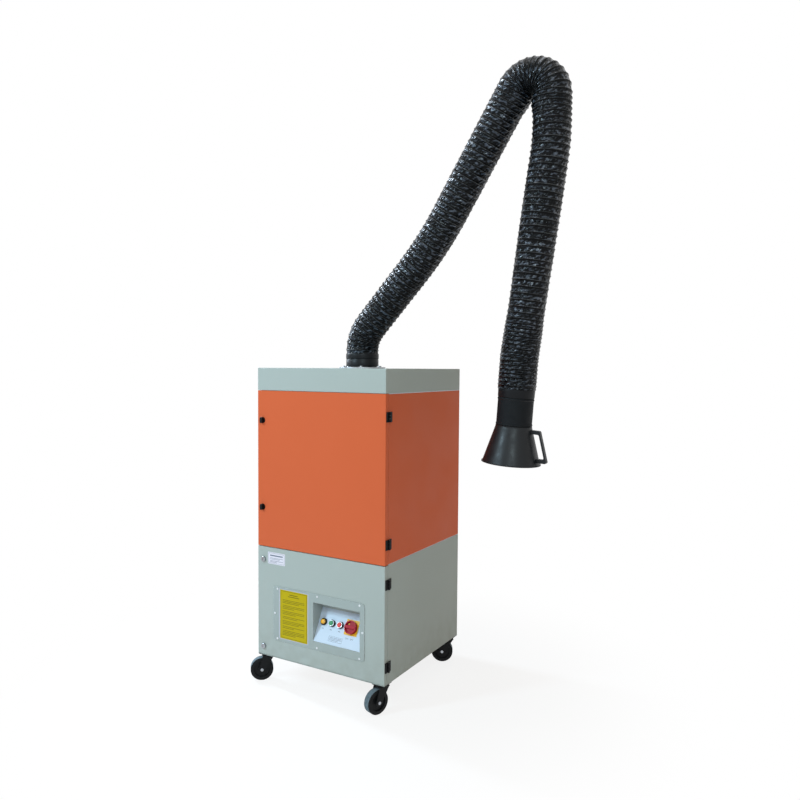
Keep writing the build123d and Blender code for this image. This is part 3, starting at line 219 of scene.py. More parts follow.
class Finish:
    """A material put together in layers. Its patterns lie in the rest frame, in metres."""

    def __init__(self, name, colour, roughness, metallic=0.0, specular=0.5, coat=0.0):
        self.material = bpy.data.materials.new(name)
        self.material.use_nodes = True
        self.tree = self.material.node_tree
        self.shader = self.tree.nodes["Principled BSDF"]
        values = {
            "Base Color": colour, "Roughness": roughness, "Metallic": metallic,
            "Specular IOR Level": specular, "Coat Weight": coat, "Coat Roughness": coat_roughness,
        }
        for socket, value in values.items():
            self.shader.inputs[socket].default_value = value
        self.coords = self.tree.nodes.new("ShaderNodeTexCoord")
        self.base = colour
        self.colour = None
        self.normal = None

    def link(self, source, target):
        self.tree.links.new(source, target)

    def noise_over_vector(self, vector, detail):
        """Soft noise over a vector, as a value of about 0 to 1."""
        texture = self.tree.nodes.new("ShaderNodeTexNoise")
        texture.inputs["Scale"].default_value = 1.0
        texture.inputs["Detail"].default_value = detail
        self.link(vector, texture.inputs["Vector"])
        return texture.outputs["Fac"]

    def noise(self, scale, detail, stretch=(1, 1, 1)):
        """Soft noise over the object, scale in patches to the metre."""
        mapping = self.tree.nodes.new("ShaderNodeMapping")
        mapping.inputs["Scale"].default_value = [scale * s for s in stretch]
        self.link(self.coords.outputs["Object"], mapping.inputs["Vector"])
        return self.noise_over_vector(mapping.outputs["Vector"], detail)

    def noise_over(self, first, second, detail):
        """Soft noise over two values, in patches to the unit."""
        join = self.tree.nodes.new("ShaderNodeCombineXYZ")
        self.link(first, join.inputs["X"])
        self.link(second, join.inputs["Y"])
        return self.noise_over_vector(join.outputs["Vector"], detail)

    def span(self, value, low, high, to_low=0.0, to_high=1.0):
        """Maps a value's range onto another, and stops at its ends."""
        node = range_node(self.tree, low, high, to_low, to_high)
        self.link(value, node.inputs["Value"])
        return node.outputs["Result"]

    def patches(self, scale, detail, begin, full, most=1.0, least=0.0):
        """Soft patches: where the noise goes from begin to full, the share goes from least to most."""
        return self.span(self.noise(scale, detail), begin, full, least, most)

    def math(self, operation, *values):
        return math_node(self.tree, operation, *values)

    def parts(self, space):
        """X, Y and Z of a place, in a space of the texture coordinates."""
        split = self.tree.nodes.new("ShaderNodeSeparateXYZ")
        self.link(self.coords.outputs[space], split.inputs["Vector"])
        return list(split.outputs)

    def height(self):
        """The height over the floor."""
        return self.parts("Object")[2]

    def distance_from(self, value, middle):
        """How far a value is from a number, on either side of it."""
        return self.math("ABSOLUTE", self.math("SUBTRACT", value, middle))

    def tint(self, share, colour):
        """Mixes another colour into the base colour by a share."""
        mix = self.tree.nodes.new("ShaderNodeMix")
        mix.data_type = "RGBA"
        colours = [s for s in mix.inputs if s.type == "RGBA"]
        if self.colour is None:
            colours[0].default_value = self.base
        else:
            self.link(self.colour, colours[0])
        colours[1].default_value = colour
        self.link(share, mix.inputs["Factor"])
        self.colour = [s for s in mix.outputs if s.type == "RGBA"][0]
        self.link(self.colour, self.shader.inputs["Base Color"])

    def rough(self, value):
        self.link(value, self.shader.inputs["Roughness"])

    def bump(self, value, strength, distance):
        """Adds relief: strength 0 to 1, distance the depth in metres."""
        node = self.tree.nodes.new("ShaderNodeBump")
        node.inputs["Strength"].default_value = strength
        node.inputs["Distance"].default_value = distance
        self.link(value, node.inputs["Height"])
        if self.normal is not None:
            self.link(self.normal, node.inputs["Normal"])
        self.normal = node.outputs["Normal"]
        self.link(self.normal, self.shader.inputs["Normal"])

    def round_edges(self, radius):
        """Shades the edges as if they were rounded, and returns how near an edge a place is."""
        node = self.tree.nodes.new("ShaderNodeBevel")
        node.samples = 4
        node.inputs["Radius"].default_value = radius
        self.normal = node.outputs["Normal"]
        self.link(self.normal, self.shader.inputs["Normal"])
        plain = self.tree.nodes.new("ShaderNodeNewGeometry")
        dot = self.tree.nodes.new("ShaderNodeVectorMath")
        dot.operation = "DOT_PRODUCT"
        self.link(node.outputs["Normal"], dot.inputs[0])
        self.link(plain.outputs["Normal"], dot.inputs[1])
        return self.span(dot.outputs["Value"], flat_edge_dot, sharp_edge_dot)


def painted(name, colour, dirt, edge, roughness=0.42, edge_width=0.0016, edge_wear_and_highlight_share=0.6):
    """Powder paint on sheet: fine orange peel, soft clouding, edges lighter from wear and a painted
    highlight, and dust near the floor.
    """
    made = Finish(name, colour, roughness, specular=0.12)
    near_edge = made.round_edges(edge_width)
    made.tint(made.patches(2.6, 2.0, 0.35, 0.75, most=0.10), dirt)
    near_floor = made.span(made.height(), dust_top, pan_underside)
    made.tint(made.math("MULTIPLY", near_floor, made.patches(22.0, 5.0, 0.35, 0.8, most=0.45)), dirt)
    made.tint(made.patches(160.0, 2.0, 0.74, 0.80, most=0.35), dirt)
    # Edges lighter, partly as wear and partly as a painted highlight
    wear_and_highlight = made.patches(90.0, 4.0, 0.35, 0.7, most=edge_wear_and_highlight_share, least=edge_wear_and_highlight_share / 4)
    made.tint(made.math("MULTIPLY", near_edge, wear_and_highlight), edge)
    made.bump(made.noise(420.0, 2.0), strength=0.10, distance=0.0004)
    made.rough(made.patches(7.0, 3.0, 0.3, 0.7, most=roughness + 0.07, least=roughness - 0.05))
    return made.material


def moulded(name, colour, roughness=0.5, specular=0.5, grain=500.0, depth=0.0003, edge=0.0008):
    """Moulded plastic: fine grain, faint clouding, and edges lighter, partly polished and partly a painted
    highlight.
    """
    made = Finish(name, colour, roughness, specular=specular)
    near_edge = made.round_edges(edge)
    lighter = scaled(colour, 1.9, 0.004)
    wear_and_highlight = made.patches(150.0, 3.0, 0.3, 0.7, most=0.7, least=0.1)
    # Edges lighter, partly as polish and partly as a painted highlight
    made.tint(made.math("MULTIPLY", near_edge, wear_and_highlight), lighter)
    made.tint(made.patches(18.0, 4.0, 0.55, 0.85, most=0.25), lighter)
    made.bump(made.noise(grain, 2.0), strength=0.18, distance=depth)
    made.rough(made.patches(40.0, 4.0, 0.3, 0.7, most=roughness + 0.10, least=roughness - 0.06))
    return made.material


def metal(name, colour, roughness, brushed=(1, 1, 14), scale=120.0, metallic=1.0):
    """Bare metal with brush lines or a zinc bloom, and dull patches."""
    made = Finish(name, colour, roughness, metallic=metallic)
    made.round_edges(metal_edge)
    made.tint(made.patches(35.0, 5.0, 0.45, 0.8, most=0.5), scaled(colour, 0.6))
    lines = made.noise(scale, 4.0, brushed)
    made.bump(lines, strength=0.12, distance=0.0002)
    made.rough(made.span(lines, 0.3, 0.7, max(0.05, roughness - 0.10), roughness + 0.12))
    return made.material


def hose_material():
    """Coated hose cloth: black, creased, shining on its crests, with painted glints on the crests, painted
    shade beside each wire and a painted highlight along each wire. UV counts creases and ribs.
    """
    made = Finish("hose_cloth", linear(9, 11, 13), roughness=0.2)
    across, along, _ = made.parts("UV")
    step = made.math("FRACT", along)

    # Streaks that lean with the modelled creases
    slanted = made.math("SUBTRACT", across, made.math("MULTIPLY", step, crease_slant))
    round_way = made.math("MULTIPLY", slanted, streaks_per_crease)
    streaks = made.noise_over(round_way, made.math("MULTIPLY", along, streaks_per_rib), 1.0)

    # Painted glints: crests painted pale and made shinier; painted shade beside each wire; a painted
    # highlight along each wire as a pale line
    glint_patches = made.patches(16.0, 3.0, 0.35, 0.65, most=1.0, least=0.3)
    crests = made.math("MULTIPLY", made.span(streaks, 0.50, 0.62), made.span(step, 0.20, 0.5))
    painted_glint_mask = made.math("MULTIPLY", crests, glint_patches)
    made.tint(painted_glint_mask, linear(64, 76, 92))
    made.link(made.span(painted_glint_mask, 0.0, 1.0, 0.10, 0.7), made.shader.inputs["Specular IOR Level"])
    # Painted shade: a near-black line in the tuck beside each wire
    made.tint(made.span(made.distance_from(step, painted_shade_step), 0.06, 0.16, 0.9, 0.0), linear(3, 4, 5))
    # Painted highlight: a pale line along each wire
    near_wire = made.span(made.distance_from(step, 0.5), 0.44, 0.48)
    painted_wire_highlight = made.math("MULTIPLY", near_wire, made.patches(40.0, 3.0, 0.35, 0.65, most=0.7, least=0.2))
    made.tint(painted_wire_highlight, linear(104, 106, 108))

    made.bump(streaks, strength=0.9, distance=0.0050)
    made.bump(made.noise(2600.0, 1.0), strength=0.08, distance=0.0002)
    made.rough(made.patches(60.0, 4.0, 0.3, 0.7, most=0.30, least=0.16))
    return made.material


def lens_material(name, colour):
    """A clear coloured lens with a soft glow of its own depth."""
    made = Finish(name, colour, roughness=0.12, specular=0.6, coat=0.6)
    made.shader.inputs["Subsurface Weight"].default_value = 0.25
    made.shader.inputs["Subsurface Radius"].default_value = subsurface_radius
    made.tint(made.patches(260.0, 2.0, 0.4, 0.7, most=0.5), scaled(colour, 1.5))
    made.bump(made.noise(700.0, 1.0), strength=0.10, distance=0.0003)
    return made.material


def filter_material():
    """Pleated filter felt: fibres along the folds and a grey bloom of dust."""
    made = Finish("filter_cloth", linear(232, 230, 221), roughness=0.9, specular=0.2)
    made.shader.inputs["Sheen Weight"].default_value = 0.3
    made.tint(made.patches(14.0, 5.0, 0.4, 0.8, most=0.6), linear(176, 172, 162))
    made.bump(made.noise(900.0, 4.0, stretch=(1, 1, 0.12)), strength=0.35, distance=0.0006)
    return made.material


def tread_material():
    """Grey-blue rolling rubber with scuffs and dust."""
    made = Finish("wheel_tread", linear(112, 127, 136), roughness=0.75, specular=0.2)
    made.tint(made.patches(70.0, 5.0, 0.42, 0.75, most=0.6), linear(76, 87, 95))
    made.tint(made.patches(300.0, 3.0, 0.62, 0.8, most=0.4), linear(158, 164, 166))
    made.bump(made.noise(700.0, 3.0), strength=0.3, distance=0.0005)
    return made.material


def printed(name, colour, ink):
    """A printed card: smooth film with a faint unevenness of its colour."""
    made = Finish(name, colour, roughness=0.4, specular=0.15)
    made.tint(made.patches(24.0, 4.0, 0.4, 0.8, most=0.3), ink)
    made.bump(made.noise(350.0, 2.0), strength=0.06, distance=0.0002)
    return made.material


finishes = {
    "grey_paint": painted(
        "grey_paint", linear(171, 179, 175), dirt=linear(142, 144, 134), edge=linear(206, 212, 208)
    ),
    "orange_paint": painted(
        "orange_paint", linear(210, 99, 60), dirt=linear(188, 82, 48), edge=linear(234, 140, 106)
    ),
    "black_steel": moulded("black_steel", linear(19, 20, 22), roughness=0.42, specular=0.14, grain=700.0),
    "zinc_steel": metal("zinc_steel", linear(166, 170, 174), roughness=0.34),
    "bright_steel": metal(
        "bright_steel", linear(168, 172, 178), roughness=0.16, brushed=unbrushed, scale=60.0
    ),
    "motor_alloy": metal(
        "motor_alloy", linear(128, 138, 148), roughness=0.5, brushed=unbrushed, scale=220.0, metallic=0.7
    ),
    "black_plastic": moulded("black_plastic", linear(16, 17, 19), roughness=0.45, specular=0.14),
    "hood_plastic": moulded(
        "hood_plastic", linear(14, 17, 20), roughness=0.42, specular=0.3, grain=260.0, depth=0.0002,
        edge=0.0016,
    ),
    "hose_cloth": hose_material(),
    "seal_rubber": moulded("seal_rubber", linear(30, 30, 30), roughness=0.8, specular=0.15),
    "wheel_rubber": moulded("wheel_core", linear(22, 23, 25), roughness=0.5, specular=0.15),
    "filter_cloth": filter_material(),
    "control_panel": painted(
        "control_panel", linear(210, 224, 241), dirt=linear(194, 206, 220), edge=linear(226, 236, 248),
        roughness=0.3,
    ),
    "amber_lens": lens_material("amber_lens", linear(255, 176, 22)),
    "green_button": lens_material("green_button", linear(22, 140, 92)),
    "red_button": lens_material("red_button", linear(222, 58, 60)),
    "red_knob": moulded("red_knob", linear(172, 24, 44), roughness=0.34, specular=0.2, depth=0.0002),
    "yellow_plate": moulded("yellow_plate", linear(238, 182, 28), roughness=0.4),
}
tread = tread_material()
silver = metal("collar_silver", linear(224, 226, 228), roughness=0.22, brushed=unbrushed, scale=90.0)
card_yellow = printed("card_yellow", linear(190, 168, 2), linear(178, 156, 1))
card_pale = printed("card_pale", linear(182, 186, 200), linear(170, 176, 190))
card_white = printed("card_white", linear(225, 220, 230), linear(214, 210, 222))
ink_olive = printed("ink_olive", linear(112, 104, 14), linear(98, 92, 10))
ink_grey = printed("ink_grey", linear(104, 114, 132), linear(92, 102, 120))
mark_yellow = printed("mark_yellow", linear(244, 222, 60), linear(236, 210, 40))

# Nodes that look different from the other nodes of their slot
own_finishes = {
    # The fascia's wide near-white edge is a painted highlight round its border, partly also wear
    "control_fascia": painted(
        "fascia_paint", linear(163, 172, 170), dirt=linear(140, 143, 136), edge=linear(226, 232, 232),
        edge_width=0.0034, edge_wear_and_highlight_share=1.0,
    ),
    "fascia_screws": metal(
        "screw_zinc", linear(226, 230, 234), roughness=0.4, brushed=unbrushed, scale=90.0, metallic=0.6
    ),
    # The collar's wide light edges are painted highlights along its rims
    "hood_collar": moulded(
        "collar_plastic", linear(17, 20, 23), roughness=0.6, specular=0.14, grain=260.0, depth=0.0002,
        edge=0.003,
    ),
}

# Each CAD node gets its own finish, or the finish of its slot
for part in frame["record"]["subparts"]:
    materials = nodes[part["node"]].data.materials
    materials.clear()
    materials.append(own_finishes.get(part["node"], finishes[part["material_slot"]]))


# Casters: the tread is grey round a dark core, and the axle bolt is bright

def caster_axle(number):
    """The axle's middle and its direction, in metres."""
    side_x, side_y, degrees = casters[number - 1]
    turn = math.radians(degrees)
    reach = half_width - kingpin_inset
    x = side_x * reach + trail * math.sin(turn)
    y = side_y * reach - trail * math.cos(turn)
    return Vector((x, y, axle_z)) * MM, Vector((math.cos(turn), math.sin(turn), 0))


def paint_faces(node, material, chosen):
    """Gives another material to the faces of a node whose middle is chosen."""
    data = nodes[node].data
    data.materials.append(material)
    for face in data.polygons:
        if chosen(face.center):
            face.material_index = 1


for number in range(1, len(casters) + 1):
    middle, way = caster_axle(number)

    def place_of(point):
        """How far a point is from the axle's line, and how far along it, in millimetres."""
        offset = point - middle
        along = offset.dot(way)
        return (offset - along * way).length / MM, abs(along) / MM

    def on_tread(point):
        radius, along = place_of(point)
        return radius > tread_inner and along < tread_half_width

    def on_bolt(point):
        radius, along = place_of(point)
        return radius < bolt_outer and along > bolt_inner_end

    paint_faces(f"caster_wheel_{number}", tread, on_tread)
    paint_faces(f"caster_fork_{number}", finishes["bright_steel"], on_bolt)


# Hose: one ribbed tube over the arm, cut into four pieces along it

def on_hood_axis(rise):
    """A place on the hood's axis, over the top of its collar."""
    return (collar_top[0] + rise * math.sin(lean), collar_top[1] + rise * math.cos(lean))


# The route of the hose's middle line: its corners, with the radius of the bend at each
hose_radii = (160.0, 1500.0, 82.0, 82.0, 900.0, 400.0)
wrist_run = 144.0
wrist_corner = on_hood_axis(wrist_run + hose_radii[-1] * math.tan(lean / 2))
route = (
    (0.0, turntable_top), (0.0, 1508.0), (356.0, 1890.0), (732.0, 2494.0),
    (861.0, 2494.0), (859.0, 2240.0), wrist_corner, collar_top,
)

# The cloth: where it lies along the route, how close its wires are, and its relief between them
cloth_from_start, cloth_from_end, first_place = 48.0, 34.0, 53.0
rib_pitch, packed_pitch = 25.6, 16.2
packed_length, packed_blend, fold_packing = 330, 80, 190
cloth_radius, least_radius, bore_radius = 71.8, 66.6, 65.5
valley_depth, wire_rise, wire_width, crease_depth = 2.6, 1.5, 0.06, 3.4
crest_step, mean_ridge = 0.3, 0.7
least_slack, most_slack = 0.25, 1.6
squeeze_radius, jog_reach = 70.0, 0.8

# Where the hose stands out past its plain radius: how far, round which place, and over what reach
swells = ((1.5, 900, 500), (3.5, 1950, 330))
end_swell, end_length, end_blend = 4.5, 300, 22
fold_push, push_before, push_after = 8.0, (22, 34), (26, 36)

# Columns round the tube, and its rows as shares of the way from wire to wire
around = 176
first_step, valley_step, open_step = 0.38, 0.52, 0.3
rib_steps = (0.0, 0.05, 0.11, 0.24, first_step, valley_step, 0.66, 0.80, 0.93)
crown_x = 786.0


def route_legs():
    """Runs and arcs of the route in turn: start, heading, length and turn."""
    headings = [math.atan2(b[1] - a[1], b[0] - a[0]) for a, b in zip(route, route[1:])]
    turns = [math.remainder(b - a, math.tau) for a, b in zip(headings, headings[1:])]
    cuts = [0, *[r * math.tan(abs(t) / 2) for r, t in zip(hose_radii, turns)], 0]
    legs = []
    for i, heading in enumerate(headings):
        way = (math.cos(heading), math.sin(heading))
        run = math.dist(route[i], route[i + 1]) - cuts[i] - cuts[i + 1]
        start = (route[i][0] + cuts[i] * way[0], route[i][1] + cuts[i] * way[1])
        legs.append((start, heading, run, 0.0))
        if i < len(turns):
            bend = (start[0] + run * way[0], start[1] + run * way[1])
            legs.append((bend, heading, hose_radii[i] * abs(turns[i]), turns[i]))
    return legs


legs = route_legs()
hose_length = sum(leg[2] for leg in legs)


def route_place(distance):
    """Place, heading and curvature of the hose's middle line at a distance along it."""
    for leg in legs:
        start, heading, length, turn = leg
        if distance <= length or leg is legs[-1]:
            break
        distance -= length
    if not turn:
        x = start[0] + distance * math.cos(heading)
        z = start[1] + distance * math.sin(heading)
        return x, z, heading, 0.0
    radius = length / turn
    after = heading + turn * distance / length
    x = start[0] + radius * (math.sin(after) - math.sin(heading))
    z = start[1] - radius * (math.cos(after) - math.cos(heading))
    return x, z, after, 1 / radius


def smooth_curvature(distance):
    """Curvature averaged over two ribs or so, because cloth doesn't change at a line."""
    shifts = (-30, -15, 0, 15, 30)
    return sum(route_place(distance + shift)[3] for shift in shifts) / len(shifts)


def bell(distance, middle, reach):
    """1 at the middle, falling smoothly to nothing past the reach on both sides."""
    return math.exp(-(((distance - middle) / reach) ** 2))


def fullness_at(distance, side):
    """How far the hose stands out past its plain radius. Side is 1 on top of it and -1 underneath."""
    swell = sum(rise * bell(distance, middle, reach) for rise, middle, reach in swells)
    swell += end_swell / (1 + math.exp((hose_length - end_length - distance) / end_blend))
    pushed = bell(distance, fold_start - push_before[0], push_before[1])
    pushed += bell(distance, fold_end + push_after[0], push_after[1])
    return swell + fold_push * pushed * max(0.0, -side) ** 2


def cloth_radius_at(distance, rib, step, angle, curvature):
    """How far the cloth stands from the middle line: out at the wires, slack and creased between them."""
    sag = 4 * step * (1 - step)
    across, up = math.cos(angle), math.sin(angle)
    squeeze = curvature * squeeze_radius * up

    def soft(fineness, along):
        """Soft noise of -1 to 1 round the hose, fixed by the place alone."""
        return noise.noise(Vector((across * fineness, up * fineness, along)))

    swell = soft(1.3, rib * 0.37)
    lively = 0.85 + 0.5 * soft(2.1, rib * 0.9 + 40)
    drift = 0.9 * soft(3.0, rib * 2.3)
    fold = (angle / math.tau * crease_count - crease_slant * step + drift + rib * 0.43) % 1.0
    ridge = fold / crest_step if fold < crest_step else (1 - fold) / (1 - crest_step)
    slack = min(most_slack, max(least_slack, 1 + 1.4 * squeeze))
    radius = cloth_radius - valley_depth * sag * (0.9 + 0.5 * squeeze + 0.35 * swell)
    radius += wire_rise * bell(min(step, 1 - step), 0, wire_width) + 0.25 * swell
    radius += crease_depth * (ridge - mean_ridge) * lively * slack * sag ** 0.6
    return max(least_radius, radius + fullness_at(distance, up))


def hose_piece(name, first_row, last_row, rows):
    """A closed tube: creased cloth outside, a plain bore inside and a narrow ring at each end."""
    mesh = bmesh.new()
    angles = [math.tau * i / around for i in range(around)]

    def ring(distance, radii):
        x, z, heading, _ = route_place(distance)
        side_x, side_z = -math.sin(heading), math.cos(heading)
        verts = []
        for angle, radius in zip(angles, radii):
            rise = radius * math.sin(angle)
            place = (x + rise * side_x, radius * math.cos(angle), z + rise * side_z)
            verts.append(mesh.verts.new([value * MM for value in place]))
        return verts

    outer, counts = [], []
    for distance, rib, step in rows[first_row:last_row + 1]:
        bend = smooth_curvature(distance)
        counts.append(rib + step)
        outer.append(ring(distance, [cloth_radius_at(distance, rib, step, a, bend) for a in angles]))
    begin, end = rows[first_row][0], rows[last_row][0]
    inner_count = max(2, round((end - begin) / rib_pitch))
    inner = [
        ring(begin + (end - begin) * i / inner_count, [bore_radius] * around)
        for i in range(inner_count + 1)
    ]

    # Bands of faces, each with the rib count of its two edges; the bore and the ends stay between two wires
    plain = (round(counts[0]) + 0.5,) * 2
    bands = list(zip(outer, outer[1:], counts, counts[1:]))
    bands += [(after, before, *plain) for before, after in zip(inner, inner[1:])]
    bands += [(inner[0], outer[0], *plain), (outer[-1], inner[-1], *plain)]
    cloth = mesh.loops.layers.uv.new("cloth")
    for low, high, low_count, high_count in bands:
        for i in range(around):
            k = (i + 1) % around
            face = mesh.faces.new((low[i], low[k], high[k], high[i]))
            corners = ((i, low_count), (i + 1, low_count), (i + 1, high_count), (i, high_count))
            for loop, (column, count) in zip(face.loops, corners):
                loop[cloth].uv = (column * crease_count / around, count)
    return piece(name, mesh, None, finishes["hose_cloth"], sharp=80.0)


def rib_places(first, last):
    """Where the wire passes: evenly, and closer where the hose is pushed together."""
    places = [first]
    while places[-1] < last:
        share = min(1.0, max(0.0, (places[-1] - last + packed_length) / packed_blend))
        share = max(share, bell(places[-1], (fold_start + fold_end) / 2, fold_packing))
        places.append(places[-1] + rib_pitch + (packed_pitch - rib_pitch) * share)
    stretch = (last - first) / (places[-1] - first)
    return [first + (place - first) * stretch for place in places]


# Where each leg of the route ends, and the tube's rows: place, rib, share of the way to the next wire
reaches = [sum(leg[2] for leg in legs[:i + 1]) for i in range(len(legs))]
shoulder_end, fold_start, fold_end, wrist_start = (reaches[i] for i in (1, 4, 7, 10))
ribs = rib_places(cloth_from_start, hose_length - cloth_from_end)
rows = [(first_place, 0, first_step)]
for rib, (begin, end) in enumerate(zip(ribs, ribs[1:])):
    jog = jog_reach * noise.noise(Vector((rib * 0.61, 3.3, 7.7)))
    for step in rib_steps:
        if rib or step > open_step:
            rows.append((begin + step * (end - begin) + jog * (0.5 - abs(step - 0.5)), rib, step))
rows.append((ribs[-1], len(ribs), open_step))


def row_near(distance):
    """The row in the middle of a valley that is nearest to a distance along the hose."""
    valleys = [i for i, row in enumerate(rows) if row[2] == valley_step]
    return min(valleys, key=lambda i: abs(rows[i][0] - distance))


crown = next(d for d in range(int(fold_start), int(fold_end)) if route_place(d)[0] >= crown_x)
cut_lower = row_near((shoulder_end + fold_start) / 2)
cut_crown = row_near(crown)
cut_upper = row_near((fold_end + wrist_start) / 2)
hose_foot = hose_piece("hose_foot", 0, cut_lower, rows)
hose_rise = hose_piece("hose_rise", cut_lower, cut_crown, rows)
hose_fall = hose_piece("hose_fall", cut_crown, cut_upper, rows)
hose_drop = hose_piece("hose_drop", cut_upper, len(rows) - 1, rows)


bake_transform(hose_foot)
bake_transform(hose_rise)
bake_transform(hose_fall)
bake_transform(hose_drop)
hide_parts("hose_base", "hose_lower")
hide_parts("hose_lower", "hose_elbow")
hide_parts("hose_elbow", "hose_upper")
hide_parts("hose_upper", "hose_wrist")

# Cuffs: smooth rubber sleeves over the hose's ends, each with a clamp band
sleeve = moulded(
    "cuff_rubber", linear(16, 18, 21), roughness=0.4, specular=0.17, grain=120.0, depth=0.0014
)
foot_axis = plane((0, 0, turntable_top), (1, 0, 0), (0, 0, 1))
hood_axis = plane(
    (collar_top[0], 0, collar_top[1]),
    (math.cos(lean), 0, -math.sin(lean)),
    (math.sin(lean), 0, math.cos(lean)),
)


def cuff(name, where, body, outline):
    """A sleeve of (radius, height) pairs on its outside, closed by its bore."""
    mesh = bmesh.new()
    bore = [(bore_radius, outline[-1][1]), (bore_radius, outline[0][1])]
    turned(mesh, outline + bore, where)
    piece(name, mesh, body, sleeve, sharp=50.0)


foot_outline = [
    (70.6, 0.4), (71.8, 1.6), (72.0, 4), (71.9, 30), (71.0, 31.4), (71.0, 33), (72.6, 34.2), (72.9, 37),
    (72.9, 53), (72.4, 56), (71.2, 57.6), (69.6, 58),
]
hood_outline = [
    (70.4, 0.6), (71.6, 1.6), (72.2, 4), (72.4, 20), (72.8, 23), (72.9, 32), (72.4, 37), (71.2, 39.4),
    (69.4, 40),
]
cuff("hose_foot_cuff", foot_axis, "turntable", foot_outline)
cuff("hose_hood_cuff", hood_axis, "collar", hood_outline)

# Two glossy beads round the collar
bead_heights = (-7.0, -106.0)
bead_outline = ((70.2, -2.4), (71.8, -1.6), (72.4, 0), (71.8, 1.6), (70.2, 2.4))
beads = bmesh.new()
for height in bead_heights:
    turned(beads, [(radius, height + rise) for radius, rise in bead_outline], hood_axis)
piece("collar_beads", beads, "collar", finishes["hood_plastic"], sharp=60.0)


# Cards and marks on the lower door

door = "blower_door_leaf"
backing_top, sheet_top, label_top, ink_thickness = 0.4, 0.7, 0.4, 0.12


def strips(name, where, rects, height, material):
    """Small flat bars of ink given as (middle X, middle Y, width, height), all in one piece."""
    mesh = bmesh.new()
    for x, y, width, tall in rects:
        outline = rounded(width, tall, min(width, tall) * 0.3, steps=2)
        prism(mesh, outline, where, height, height + ink_thickness, (x, y))
    piece(name, mesh, door, material)


def card(name, where, box, material, radius, low, high):
    """A thin card over a box of (low X, low Y, high X, high Y)."""
    mesh = bmesh.new()
    middle = ((box[0] + box[2]) / 2, (box[1] + box[3]) / 2)
    prism(mesh, rounded(box[2] - box[0], box[3] - box[1], radius), where, low, high, middle)
    piece(name, mesh, door, material, soften=0.1)


def paragraph_rules(left, right, top, groups, gap, step, rule):
    """Ruled lines in groups, the last of each group shorter."""
    rects = []
    y = top
    for group, lines in enumerate(groups):
        last_cut = (right - left) * (0.25 + 0.3 * ((group * 7) % 4) / 4)
        for line in range(lines):
            cut = 0.0 if line < lines - 1 else last_cut
            rects.append(((left + right - cut) / 2, y, right - left - cut, rule))
            y -= step
        y -= gap
    return rects


def frame_rules(box, rule):
    """Four thin bars round a box."""
    low_x, low_y, high_x, high_y = box
    middle_x, middle_y = (low_x + high_x) / 2, (low_y + high_y) / 2
    return [
        (middle_x, low_y, high_x - low_x, rule), (middle_x, high_y, high_x - low_x, rule),
        (low_x, middle_y, rule, high_y - low_y), (high_x, middle_y, rule, high_y - low_y),
    ]


card("card_backing", fascia, (-206, 208, -48, 425), card_pale, radius=2, low=0, high=backing_top)
card("card_sheet", fascia, (-200, 211, -53, 422), card_yellow, radius=1, low=backing_top, high=sheet_top)
card_rules = frame_rules((-195, 216, -58, 417), rule=1.6)
card_rules += [(-126.5, 405, 44, 3.4), (-126.5, 397, 60, 3.0)]
card_rules += paragraph_rules(-186, -69, 380, groups=(3, 3, 3, 2, 3, 2, 4), gap=5.5, step=6.2, rule=2.0)
strips("card_rules", fascia, card_rules, sheet_top, ink_olive)
card("door_label", front, (-269, 524, -175, 575), card_white, radius=2, low=0, high=label_top)
label_rules = frame_rules((-265, 528, -179, 571), rule=0.9) + [(-222, 561, 70, 5.0)]
label_rules += paragraph_rules(-257, -187, 550, groups=(2, 2), gap=2.0, step=5.0, rule=1.5)
strips("label_rules", front, label_rules, label_top, ink_grey)

panel_rules = [(x, control_row - 26, 11, 2.2) for x in (lamp_x, green_x, red_x)]
panel_rules += frame_rules((-46, 14, 20, 34), rule=0.8)
panel_rules += paragraph_rules(-42, 16, 29, groups=(3,), gap=0, step=5.0, rule=1.4)
strips("panel_rules", control, panel_rules, 0.0, ink_grey)


letter_size, half_letter_rise = 9.0, 0.06
word_shift, word_y = 12, 36


def word(name, text, where, middle, material):
    """A raised word on the door, as a mesh, centred across a place."""
    curve = bpy.data.curves.new(name + "_curve", "FONT")
    curve.body = text
    curve.size = letter_size * MM
    curve.align_x = "CENTER"
    curve.extrude = half_letter_rise * MM
    source = new_object(name + "_curve", curve)
    bpy.context.view_layer.update()
    data = bpy.data.meshes.new_from_object(source.evaluated_get(bpy.context.evaluated_depsgraph_get()))
    bpy.data.objects.remove(source)
    data.transform(where @ Matrix.Translation(Vector([v * MM for v in (*middle, half_letter_rise)])))
    data.materials.clear()
    data.materials.append(material)
    shape = new_object(name, data)
    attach(shape, door)


word("word_on", "ON", control, (isolator_x - word_shift, word_y), ink_grey)
word("word_off", "OFF", control, (isolator_x + word_shift, word_y), ink_grey)

# Bright collars round the two buttons, and the pointer on the isolator
collar_outline = [
    (bezel_inner, bezel_top), (bezel_outer, bezel_top),
    (bezel_outer, collar_height - 0.8), (bezel_outer - 0.6, collar_height),
    (bezel_inner + 0.4, collar_height), (bezel_inner, collar_height - 0.4),
]
collars = bmesh.new()
for x in (green_x, red_x):
    where = control @ Matrix.Translation(Vector((x * MM, control_row * MM, 0)))
    turned(collars, collar_outline, where, segments=64)
piece("button_collars", collars, door, silver, sharp=40.0)

pointer_width, pointer_height, pointer_rise, pointer_corner = 6.0, 3.6, 1.2, 1.2
pointer_middle = (isolator_x - 11, control_row + 12)
pointer = bmesh.new()
pointer_outline = rounded(pointer_width, pointer_height, pointer_corner)
prism(pointer, pointer_outline, control, knob_floor, knob_floor + pointer_rise, pointer_middle)
piece("isolator_pointer", pointer, "isolator_knob", mark_yellow, soften=0.3)


# Studio: pale floor, soft lamps, and the camera that was fitted to the photograph

